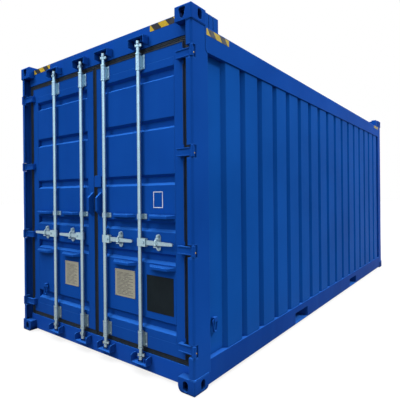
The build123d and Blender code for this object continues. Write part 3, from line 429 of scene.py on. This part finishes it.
def timber(name="floor_timber"):
    """Plywood sheets laid across the floor, with grain, joints and scuffs."""
    s = Shader(name)
    grain = s.noise(1.0, 8.0, 0.65, s.stretch((3.0, 70.0, 40.0)))
    tone = s.ramp(grain, 0.3, 0.75, PLYWOOD)
    brick = s.node("ShaderNodeTexBrick", Vector=s.coord, Scale=1.0, Mortar_Size=0.004)
    brick.inputs["Brick Width"].default_value = 2.4
    brick.inputs["Row Height"].default_value = 1.2
    seam = brick.outputs["Fac"]
    tone = s.mix(seam, tone, PLYWOOD_SEAM)
    scuff = s.ramp(s.noise(6.0, 8.0, 0.7), 0.55, 0.8)
    tone = s.mix(s.math("MULTIPLY", scuff, 0.4), tone, PLYWOOD_SCUFF)
    relief = s.bump(s.math("SUBTRACT", grain, s.math("MULTIPLY", seam, 2.0)), 0.3, 0.002)
    return s.set(Base_Color=tone, Roughness=s.span(grain, 0.55, 0.8), Normal=relief)


def plate_metal(name="plate_metal"):
    """Weathered alloy plate with faint rubbed patches."""
    s = Shader(name)
    brush = s.noise(1.0, 6.0, 0.6, s.stretch((20.0, 20.0, 320.0)))
    tone = s.ramp(brush, 0.25, 0.8, PLATE_ALLOY)
    rubbed = s.math("MULTIPLY", s.ramp(s.noise(26.0, 5.0), 0.48, 0.7), 0.3)
    tone = s.mix(rubbed, tone, PLATE_RUBBED)
    relief = s.bump(s.noise(60.0, 4.0), 0.25, 0.001, s.soft_edge(0.001))
    return s.set(Base_Color=tone, Roughness=s.span(brush, 0.36, 0.55), Normal=relief, Metallic=0.35)


def etched_rows(name="etched_rows"):
    """Dark etching on the data plates, worn in places."""
    s = Shader(name)
    tone = s.ramp(s.noise(45.0, 5.0), 0.35, 0.7, ETCHING)
    return s.set(Base_Color=tone, Roughness=s.span(s.noise(60.0), 0.45, 0.65), Metallic=0.2)


def black_sheet(name="black_sheet"):
    """Matt dark panel with light scuffs."""
    s = Shader(name)
    tone = s.ramp(s.noise(5.0, 6.0), 0.3, 0.75, PANEL_BLACK)
    scuff = s.ramp(s.noise(1.0, 4.0, 0.6, s.stretch((60.0, 1.0, 6.0))), 0.62, 0.75)
    tone = s.mix(s.math("MULTIPLY", scuff, 0.25), tone, PANEL_SCUFF)
    rough = s.span(s.noise(30.0), 0.42, 0.6)
    grain = s.bump(s.noise(300.0), 0.1, 0.001)
    return s.set(Base_Color=tone, Roughness=rough, Normal=grain, Specular_IOR_Level=0.05)


def tape(name, along, start, shade, yellows):
    """Hazard tape: yellow and dark bars that lean, slightly scuffed."""
    s = Shader(name)
    parts = s.xyz()
    run = s.math("MULTIPLY_ADD", parts["Z"], BAR_LEAN, parts[along])
    bars = s.math("FRACT", s.math("MULTIPLY_ADD", run, 1 / BAR_PERIOD, start))
    dark = s.math("GREATER_THAN", bars, 0.5)
    yellow = s.ramp(s.noise(18.0, 4.0), 0.3, 0.7, yellows)
    greys = ((0.7 * shade, 0.8 * shade, shade, 1), (1.5 * shade, 1.65 * shade, 1.9 * shade, 1))
    grey = s.ramp(s.noise(18.0, 4.0), 0.3, 0.7, greys)
    tone = s.mix(dark, yellow, grey)
    rough = s.span(s.noise(50.0), 0.32, 0.48)
    grain = s.bump(s.noise(180.0), 0.08, 0.001)
    return s.set(Base_Color=tone, Roughness=rough, Normal=grain, Specular_IOR_Level=0.06)


def brass(name="brass"):
    """Tarnished brass."""
    s = Shader(name)
    tone = s.ramp(s.noise(150.0, 4.0), 0.35, 0.7, BRASS)
    return s.set(Base_Color=tone, Roughness=s.span(s.noise(90.0), 0.25, 0.45), Metallic=0.9)


def label_vinyl(name="label_vinyl"):
    """Pale vinyl with uneven tone."""
    s = Shader(name)
    tone = s.ramp(s.noise(40.0, 4.0), 0.3, 0.7, VINYL)
    return s.set(Base_Color=tone, Roughness=s.span(s.noise(70.0), 0.3, 0.45))


MAT = {
    "blue": blue_paint(),
    # Lit and shaded copies of the blue paint: walls and sill painted lighter, rails, roof and castings
    # painted darker; the castings get deeper painted shade in their hollows, the roof no painted sky
    # highlight
    "wall": blue_paint("wall_lit_paint", WALL_LIT_BLUE),
    "rail": blue_paint("rail_shaded_paint", RAIL_SHADED_BLUE),
    "roof": blue_paint("roof_shaded_paint", ROOF_SHADED_BLUE, lighten=0.0),
    "casting": blue_paint("casting_shaded_paint", CASTING_SHADED_BLUE, reach=0.15, corner_shade=1.5),
    "sill": blue_paint("sill_lit_paint", SILL_LIT_BLUE),
    "zinc": galvanised(),
    "rod_zinc": galvanised("rod_zinc", ROD_ZINC),
    "rubber": rubber(),
    "timber": timber(),
    "plate": plate_metal(),
    "etch": etched_rows(),
    "black": black_sheet(),
    "brass": brass(),
    "vinyl": label_vinyl(),
    "header_tape": tape("header_tape", "X", 0.033, 0.022, HEADER_YELLOW),
    "rail_tape": tape("rail_tape", "Y", 0.553, 0.060, RAIL_YELLOW)}


def node_look(name):
    """Material key of a CAD node."""
    if name.startswith("lock_rod"):
        return "rod_zinc"
    if name.startswith("lock_") or name.endswith(("rod_mounts", "catches")):
        return "zinc"
    if name.endswith("gasket"):
        return "rubber"
    if name.endswith("_wall"):
        return "wall"
    if name.endswith("castings"):
        return "casting"
    single = {"floor": "timber", "roof": "roof", "bottom_side_rails": "rail", "door_sill": "sill"}
    return single.get(name, "blue")


def dress_nodes():
    """Give each CAD node its material."""
    for name, obj in NODES.items():
        obj.data.materials.clear()
        obj.data.materials.append(MAT[node_look(name)])


# Mesh helpers
def add_piece(name, bm, body, key):
    """Turn a bmesh into a piece that rides on a body."""
    mesh = bpy.data.meshes.new(name)
    bmesh.ops.recalc_face_normals(bm, faces=bm.faces)
    bm.to_mesh(mesh)
    bm.free()
    obj = bpy.data.objects.new(name, mesh)
    bpy.context.scene.collection.objects.link(obj)
    mesh.materials.append(MAT[key])
    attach(obj, body)
    return obj


def bevel_edges(bm, edges, size):
    """Round edges off in two steps."""
    bmesh.ops.bevel(bm, geom=edges, offset=size, segments=2, affect="EDGES", profile=0.6)


def add_prism(bm, ring, offset, bevel=0.0, both=False):
    """Closed outline pushed along an offset; its front edges, or those at both ends, may be bevelled."""
    base = [bm.verts.new(p) for p in ring]
    top = [bm.verts.new(Vector(p) + Vector(offset)) for p in ring]
    faces = [bm.faces.new(base[::-1]), bm.faces.new(top)]
    count = len(ring)
    for i in range(count):
        k = (i + 1) % count
        bm.faces.new((base[i], base[k], top[k], top[i]))
    if bevel:
        ends = faces if both else faces[1:]
        bevel_edges(bm, list({e for f in ends for e in f.edges}), bevel)


def add_box(bm, low, high, bevel=0.0):
    """Box with its faces at the given corners; all its edges may be bevelled."""
    made = bmesh.ops.create_cube(bm, size=1.0)
    middle = [(a + b) / 2 for a, b in zip(low, high)]
    size = [abs(b - a) for a, b in zip(low, high)]
    bmesh.ops.scale(bm, vec=size, verts=made["verts"])
    bmesh.ops.translate(bm, vec=middle, verts=made["verts"])
    if bevel:
        bevel_edges(bm, list({e for v in made["verts"] for e in v.link_edges}), bevel)


def add_sheet(bm, edges, thick, bevel=0.0):
    """Flat plate on the face of the doors, from its left, right, low and high edges."""
    left, right, low, high = edges
    add_box(bm, (left, FACE - thick, low), (right, FACE, high), bevel)


def circle_points(centre, axis, radius, count, turn=0.0):
    """Points of a circle round an axis."""
    axis = Vector(axis).normalized()
    side = axis.orthogonal().normalized()
    other = axis.cross(side)
    made = []
    for i in range(count):
        a = turn + 2 * math.pi * i / count
        made.append(Vector(centre) + side * (radius * math.cos(a)) + other * (radius * math.sin(a)))
    return made


def add_bolt(bm, centre, axis, radius, turn=0.0):
    """Washer and chamfered hexagon head, standing on a face."""
    axis = Vector(axis).normalized()
    seat = Vector(centre)
    for part, lean in ((WASHER, 0.0), (HEAD, turn)):
        rise = axis * (radius * part["tall"])
        ring = circle_points(seat, axis, radius * part["wide"], part["corners"], lean)
        add_prism(bm, ring, rise, radius * part["bevel"])
        seat = seat + rise


def add_bead(bm, points, radius, pitch):
    """Weld bead along points, which swells and shrinks with its pitch."""
    rings = []
    travelled = 0.0
    last = len(points) - 1
    for i, p in enumerate(points):
        axis = (Vector(points[min(i + 1, last)]) - Vector(points[max(i - 1, 0)])).normalized()
        if i:
            travelled += (Vector(p) - Vector(points[i - 1])).length
        here = radius * (1 + BEAD_RIPPLE * math.sin(2 * math.pi * travelled / pitch))
        rings.append([bm.verts.new(q) for q in circle_points(p, axis, here, BEAD_SIDES)])
    for a, b in zip(rings, rings[1:]):
        for i in range(BEAD_SIDES):
            k = (i + 1) % BEAD_SIDES
            bm.faces.new((a[i], a[k], b[k], b[i]))
    bm.faces.new(rings[0][::-1])
    bm.faces.new(rings[-1])


def walk(points, step):
    """Points every step along straight runs."""
    made = []
    for a, b in zip(points, points[1:]):
        a, b = Vector(a), Vector(b)
        count = max(1, int((b - a).length / step))
        made += [a.lerp(b, i / count) for i in range(count)]
    return made + [Vector(points[-1])]


def quarter_turn(first):
    """Angles of a quarter circle, from its first step on."""
    return [math.radians(90 * i / ARC_STEPS) for i in range(first, ARC_STEPS + 1)]


# Pieces on the doors, the lock gear and the frame
def door_body(x):
    """Name of the door on a side of the middle."""
    return "right_door" if x > 0 else "left_door"


def build_bolts():
    """Bolts of the rod bearings, guides and catches, one piece for each door; each is turned a little."""
    front = FACE - BASE_THICK
    for side in (1, -1):
        bm = bmesh.new()
        for x in (ROD_INNER * side, ROD_OUTER * side):
            for z in SLEEVE_ZS:
                for dx in (-SADDLE_BOLT_X, SADDLE_BOLT_X):
                    for dz in (-SADDLE_BOLT_Z, SADDLE_BOLT_Z):
                        add_bolt(bm, (x + dx, front, z + dz), OUT, SADDLE_BOLT, dz * SADDLE_TURN + dx)
            for dz in (-GUIDE_BOLT_Z, GUIDE_BOLT_Z):
                add_bolt(bm, (x + GUIDE_BOLT_X, front, GUIDE_Z + dz), OUT, GUIDE_BOLT, dz * GUIDE_TURN)
            for z in CATCH_BOLT_ZS:
                add_bolt(bm, (x + side * CATCH_FROM_ROD, front, z), OUT, CATCH_BOLT, z * CATCH_TURN)
        add_piece(f"{door_body(side)}_bolts", bm, door_body(side), "zinc")


def smooth_path(points, count):
    """Points of a smooth line through given points of a plane."""
    made = []
    last = len(points) - 1
    for i in range(last):
        a, b, c, d = [Vector(points[min(max(i + k, 0), last)]) for k in (-1, 0, 1, 2)]
        for k in range(count):
            t = k / count
            made.append(0.5 * (2 * b + (c - a) * t + (2 * a - 5 * b + 4 * c - d) * t ** 2
                               + (3 * b - a - 3 * c + d) * t ** 3))
    return made + [Vector(points[-1])]


def add_hasp(bm, x):
    """Strap from the eye above the catch, bent forward over the handle, with a foot plate and a bolt."""
    line = smooth_path(HASP_LINE, HASP_STEPS)
    front, back = [], []
    for i, p in enumerate(line):
        run = (line[min(i + 1, len(line) - 1)] - line[max(i - 1, 0)]).normalized()
        away = Vector((run.y, -run.x)) * (HASP_THICK / 2)
        front.append((x - HASP_HALF, *(p + away)))
        back.append((x - HASP_HALF, *(p - away)))
    add_prism(bm, front + back[::-1], (2 * HASP_HALF, 0, 0), SMALL_BEVEL, both=True)
    eye_y, eye_z = HASP_LINE[1]
    eye_thick = HASP_THICK + 2 * HASP_EYE_PROUD
    eye = (x, eye_y + eye_thick / 2, eye_z)
    add_prism(bm, circle_points(eye, OUT, HASP_EYE, HASP_EYE_CORNERS), (0, -eye_thick, 0), SMALL_BEVEL)
    add_bolt(bm, (x, eye_y - eye_thick / 2, eye_z), OUT, SMALL_BOLT)
    low = (x - HASP_FOOT_X, HANDLE_FRONT - HASP_FOOT_THICK, HANDLE_Z - HASP_FOOT_Z)
    high = (x + HASP_FOOT_X, HANDLE_FRONT, HANDLE_Z + HASP_FOOT_Z)
    add_box(bm, low, high, SMALL_BEVEL)


def build_handle_parts():
    """Pivot bolts on the clevises and the curved seal straps on the handles."""
    for number, x in RODS.items():
        side = 1 if x > 0 else -1
        bm = bmesh.new()
        add_bolt(bm, (x + side * PIVOT_FROM_ROD, CLEVIS_FRONT, HANDLE_Z), OUT, PIVOT_BOLT)
        add_piece(f"clevis_bolt_{number}", bm, f"lock_rod_{number}", "zinc")
        bm = bmesh.new()
        add_hasp(bm, x + side * CATCH_FROM_ROD)
        add_piece(f"seal_strap_{number}", bm, f"lock_handle_{number}", "rod_zinc")


def add_hexa(bm, low, high):
    """Closed solid between two outlines of four points."""
    a, b = [bm.verts.new(p) for p in low], [bm.verts.new(p) for p in high]
    bm.faces.new(a[::-1])
    bm.faces.new(b)
    for i in range(4):
        k = (i + 1) % 4
        bm.faces.new((a[i], a[k], b[k], b[i]))


def add_step(bm, left, right, top):
    """Tread cut off at 45 degrees at both ends, with a lip along its free edges and rows of raised dots."""
    front = FACE - STEP_DEEP
    low = top - STEP_FALL - STEP_LIP
    skew = STEP_SHEET * math.sqrt(2)
    mitre = STEP_SHEET * (math.sqrt(2) - 1)
    outer = [(left, FACE), (left + STEP_DEEP, front), (right - STEP_DEEP, front), (right, FACE)]
    inner = [(left + skew, FACE), (left + STEP_DEEP + mitre, front + STEP_SHEET),
             (right - STEP_DEEP - mitre, front + STEP_SHEET), (right - skew, FACE)]

    def tread(y):
        return top - STEP_FALL * (FACE - y) / STEP_DEEP

    add_hexa(bm, [(x, y, tread(y) - STEP_SHEET) for x, y in inner], [(x, y, tread(y)) for x, y in inner])
    for k in range(3):
        edge = [outer[k], outer[k + 1], inner[k + 1], inner[k]]
        add_hexa(bm, [(x, y, low) for x, y in edge], [(x, y, tread(y)) for x, y in edge])
    upward = Vector((0, -STEP_FALL, STEP_DEEP)).normalized()
    for share in DOT_ROWS:
        y = FACE - STEP_DEEP * share
        start = left + STEP_DEEP * share + DOT_END
        stop = right - STEP_DEEP * share - DOT_END
        count = int((stop - start) / DOT_PITCH)
        for i in range(count + 1):
            place = (start + (stop - start) * i / count, y, tread(y))
            ring = circle_points(place, upward, DOT_RADIUS, DOT_CORNERS)
            add_prism(bm, ring, upward * DOT_TALL, DOT_BEVEL)


def rounded_outline(low, high, radius, count=5):
    """Corners of a rectangle rounded off, as pairs."""
    made = []
    for i, (x, z) in enumerate(((high[0], high[1]), (low[0], high[1]), (low[0], low[1]), (high[0], low[1]))):
        cx = x - radius if i in (0, 3) else x + radius
        cz = z - radius if i < 2 else z + radius
        for k in range(count + 1):
            a = math.radians(90 * (i + k / count))
            made.append((cx + radius * math.cos(a), cz + radius * math.sin(a)))
    return made


def build_fittings():
    """Steps, pull plates and the cover plate, which stand for the plainer fittings of the frame."""
    front = FACE - FIN_DEEP
    for side in (1, -1):
        bm = bmesh.new()
        for left, right in STEP_BAYS[side]:
            for top in STEP_TOPS:
                add_step(bm, left, right, top)
        x0, x1 = FINS[side]
        ring = [(x0, FACE, FIN_LOW), (x0, front, FIN_LOW + FIN_CUT),
                (x0, front, FIN_HIGH - FIN_CUT), (x0, FACE, FIN_HIGH)]
        add_prism(bm, ring, (x1 - x0, 0, 0), FIN_BEVEL, both=True)
        if side > 0:
            outline = rounded_outline(COVER[::2], COVER[1::2], COVER_ROUND)
            add_prism(bm, [(x, FACE, z) for x, z in outline], (0, -COVER_THICK, 0), COVER_BEVEL)
        piece = add_piece(f"{door_body(side)}_steps_and_plates", bm, door_body(side), "blue")
        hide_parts(f"{door_body(side)}_fittings")


def build_door_welds():
    """Upright weld beads between the grooves, where each panel meets the frame of its door."""
    cuts = [PANEL_ENDS[0]]
    for z in GROOVES:
        cuts += [z - GROOVE_HALF, z + GROOVE_HALF]
    cuts.append(PANEL_ENDS[1])
    for side in (1, -1):
        bm = bmesh.new()
        for x in PANEL_EDGES:
            for low, high in zip(cuts[::2], cuts[1::2]):
                run = walk([(side * x, FACE, low), (side * x, FACE, high)], DOOR_BEAD_STEP)
                add_bead(bm, run, DOOR_BEAD, DOOR_BEAD_PITCH)
        add_piece(f"{door_body(side)}_welds", bm, door_body(side), "blue")


def build_seal_lips():
    """Outer lips of the door seals, which lap over the edges of each leaf and stop at the hinges."""
    inner, hinge_side, low, high = LEAF
    top = high - LIP_TOP
    cuts = [low] + [z + d for z in HINGE_ZS for d in (-HINGE_PAD, HINGE_PAD)] + [top]
    for side in (1, -1):
        strips = [(inner, hinge_side, top, high)]
        strips += [(hinge_side - LIP_SIDE, hinge_side, a, b) for a, b in zip(cuts[::2], cuts[1::2])]
        if side > 0:
            strips += [(inner, inner + LIP_MIDDLE, a, b) for a, b in ((low, COVER[2]), (COVER[3], top))]
        bm = bmesh.new()
        for x0, x1, z0, z1 in strips:
            add_sheet(bm, (side * x0, side * x1, z0, z1), LIP_PROUD, SMALL_BEVEL)
        add_piece(f"{door_body(side)}_seal_lips", bm, door_body(side), "rubber")


def build_data_plates():
    """Bare data plates with rivets and etched rows that hold no words."""
    for name, edges in PLATES.items():
        x0, x1, z0, z1 = edges
        bm = bmesh.new()
        add_sheet(bm, edges, PLATE_THICK, SMALL_BEVEL)
        for x in (x0 + RIVET_IN, x1 - RIVET_IN):
            for z in (z0 + RIVET_IN, z1 - RIVET_IN):
                add_bolt(bm, (x, FACE - PLATE_THICK, z), OUT, SMALL_BOLT)
        add_piece(name, bm, door_body(x0), "plate")
        bm = bmesh.new()
        front = FACE - PLATE_THICK
        for i in range(PLATE_ROWS):
            z = z0 + (z1 - z0) * (ROWS_START + ROWS_SHARE * i / PLATE_ROWS)
            for a, b in ROW_CUTS[i % len(ROW_CUTS)]:
                low = (x0 + (x1 - x0) * a, front - ROW_PROUD, z)
                high = (x0 + (x1 - x0) * b, front, z + ROW_TALL)
                add_box(bm, low, high, ROW_BEVEL)
        add_piece(f"{name}_rows", bm, door_body(x0), "etch")


def build_panel_and_label():
    """Dark panel and the border of a blank label, on the right door."""
    bm = bmesh.new()
    add_sheet(bm, DARK_PANEL, DARK_THICK, DARK_BEVEL)
    add_piece("dark_panel", bm, "right_door", "black")
    bm = bmesh.new()
    x0, x1, z0, z1 = LABEL
    inner_low = z0 + LABEL_LINE
    inner_high = z1 - LABEL_LINE
    for edges in ((x0, x1, z0, inner_low), (x0, x1, inner_high, z1),
                  (x0, x0 + LABEL_LINE, inner_low, inner_high), (x1 - LABEL_LINE, x1, inner_low, inner_high)):
        add_sheet(bm, edges, LABEL_THICK)
    add_piece("label_border", bm, "right_door", "vinyl")


def build_tape():
    """Hazard tape on the door header and on the top side rails."""
    low, high = HEADER_TAPE_ZS
    for name, (x0, x1) in HEADER_TAPES.items():
        bm = bmesh.new()
        ring = [(x0, FACE, low), (x1, FACE, low), (x1, FACE, high), (x0, FACE, high)]
        add_prism(bm, ring, (0, -TAPE_THICK, 0), TAPE_BEVEL)
        add_piece(name, bm, "container_frame", "header_tape")
    low, high = RAIL_TAPE_ZS
    for side, sx in (("right", 1), ("left", -1)):
        x = sx * RAIL_X
        for end, (y0, y1) in RAIL_TAPES.items():
            bm = bmesh.new()
            ring = [(x, y0, low), (x, y1, low), (x, y1, high), (x, y0, high)]
            add_prism(bm, ring, (sx * TAPE_THICK, 0, 0), TAPE_BEVEL)
            add_piece(f"{side}_{end}_rail_tape", bm, "container_frame", "rail_tape")


def build_nipples():
    """Brass grease nipples in the hinge notches."""
    for side in (1, -1):
        bm = bmesh.new()
        for z in HINGE_ZS:
            seat = Vector((side * NIPPLE_X, NIPPLE_Y, z - NIPPLE_DROP))
            for part, corners in ((NIPPLE_BASE, NIPPLE_BASE_CORNERS), (NIPPLE_TIP, NIPPLE_TIP_CORNERS)):
                radius, tall, bevel = part
                rise = Vector((side * tall, 0, 0))
                add_prism(bm, circle_points(seat, (side, 0, 0), radius, corners), rise, bevel)
                seat = seat + rise
        add_piece(f"{door_body(side)}_nipples", bm, door_body(side), "brass")


def build_welds():
    """Weld beads where posts meet the castings and where the top rails lap the posts."""
    bm = bmesh.new()
    for sx in (1, -1):
        for z in POST_BEAD_ZS:
            path = [(sx * POST_BEAD_START_X, POST_BEND_Y - POST_BEND, z)]
            for a in quarter_turn(0):
                path.append((sx * (POST_BEND_X + POST_BEND * math.sin(a)),
                             POST_BEND_Y - POST_BEND * math.cos(a), z))
            path.append((sx * (POST_BEND_X + POST_BEND), POST_BEAD_END_Y, z))
            add_bead(bm, walk(path, FRAME_BEAD_STEP), POST_BEAD, FRAME_BEAD_PITCH)
        lap = [(sx * LAP_X, LAP_Y, LAP_HIGH), (sx * LAP_X, LAP_Y, LAP_LOW)]
        for a in quarter_turn(1):
            y = LAP_Y + LAP_BEND * (1 - math.cos(a))
            lap.append((sx * LAP_X, y, LAP_BEND_Z - LAP_BEND * math.sin(a)))
        add_bead(bm, walk(lap, FRAME_BEAD_STEP), LAP_BEAD, FRAME_BEAD_PITCH)
    add_piece("weld_beads", bm, "container_frame", "blue")


# Studio and camera
def seen_rays(tree):
    """Socket that is one for rays of the camera, of reflections and through glass, and none for the rest."""
    path = tree.nodes.new("ShaderNodeLightPath").outputs
    seen = path["Is Camera Ray"]
    for other in ("Is Glossy Ray", "Is Transmission Ray"):
        join = tree.nodes.new("ShaderNodeMath")
        join.operation = "MAXIMUM"
        tree.links.new(seen, join.inputs[0])
        tree.links.new(path[other], join.inputs[1])
        seen = join.outputs[0]
    return seen


def build_floor():
    """Pale floor that keeps the object's shadow and grows white further out."""
    mesh = bpy.data.meshes.new("studio_floor")
    bm = bmesh.new()
    bmesh.ops.create_grid(bm, x_segments=1, y_segments=1, size=FLOOR_HALF)
    bm.to_mesh(mesh)
    bm.free()
    floor = bpy.data.objects.new("studio_floor", mesh)
    bpy.context.scene.collection.objects.link(floor)
    s = Shader("studio_floor")
    tone = s.ramp(s.noise(0.6, 3.0), 0.3, 0.7, FLOOR_GREY)
    away = s.node("ShaderNodeVectorMath")
    away.operation = "LENGTH"
    s.put(away.inputs[0], s.coord)
    lighten = s.node("ShaderNodeMapRange", Value=away.outputs["Value"])
    lighten.inputs["From Min"].default_value = FLOOR_NEAR
    lighten.inputs["From Max"].default_value = FLOOR_FAR
    lighten.inputs["To Min"].default_value = FLOOR_NEAR_GLOW
    lighten.inputs["To Max"].default_value = FLOOR_FAR_GLOW
    glow = s.math("MULTIPLY", seen_rays(s.tree), lighten.outputs["Result"])
    s.set(Base_Color=tone, Roughness=0.9, Specular_IOR_Level=0.0)
    s.set(Emission_Color=WHITE, Emission_Strength=glow)
    mesh.materials.append(s.mat)


def build_world():
    """White surround, which lights less than it shows."""
    world = bpy.data.worlds.new("studio")
    bpy.context.scene.world = world
    world.use_nodes = True
    tree = world.node_tree
    back = tree.nodes["Background"]
    level = tree.nodes.new("ShaderNodeMapRange")
    level.inputs["To Min"].default_value = SKY_LIGHT
    level.inputs["To Max"].default_value = SKY_SEEN
    back.inputs["Color"].default_value = WHITE
    tree.links.new(seen_rays(tree), level.inputs["Value"])
    tree.links.new(level.outputs["Result"], back.inputs["Strength"])


def build_lamps():
    """Soft round lamps that the camera doesn't see."""
    for name, (place, aim, size, power) in LAMPS.items():
        light = bpy.data.lights.new(name, "AREA")
        light.shape = "DISK"
        light.size = size
        light.energy = power
        obj = bpy.data.objects.new(name, light)
        bpy.context.scene.collection.objects.link(obj)
        obj.visible_camera = False
        obj.location = place
        obj.rotation_euler = (Vector(aim) - Vector(place)).to_track_quat("-Z", "Y").to_euler()


def build_camera():
    """Camera where the photographer stood: the principal point lies a little off the middle."""
    middle = PICTURE_SIDE / 2
    data = bpy.data.cameras.new("camera")
    data.sensor_fit = "HORIZONTAL"
    data.sensor_width = SENSOR
    data.lens = FOCAL / PICTURE_SIDE * SENSOR
    data.shift_x = (middle - PRINCIPAL[0]) / PICTURE_SIDE
    data.shift_y = (PRINCIPAL[1] - middle) / PICTURE_SIDE
    data.clip_end = CLIP_END
    cam = bpy.data.objects.new("camera", data)
    bpy.context.scene.collection.objects.link(cam)
    yaw, pitch, roll = (math.radians(a) for a in (YAW, PITCH, ROLL))
    ahead = Vector((-math.sin(yaw) * math.cos(pitch), math.cos(yaw) * math.cos(pitch), math.sin(pitch)))
    level = Vector((math.cos(yaw), math.sin(yaw), 0.0))
    upward = level.cross(ahead)
    right = level * math.cos(roll) + upward * math.sin(roll)
    up = upward * math.cos(roll) - level * math.sin(roll)
    turn = Matrix((right, up, -ahead)).transposed()
    cam.matrix_world = Matrix.Translation(EYE) @ turn.to_4x4()
    bpy.context.scene.camera = cam


dress_nodes()
build_bolts()
build_handle_parts()
build_fittings()
build_door_welds()
build_seal_lips()
build_data_plates()
build_panel_and_label()
build_tape()
build_nipples()
build_welds()
build_floor()
build_world()
build_lamps()
build_camera()
bpy.context.scene.view_settings.view_transform = "Standard"
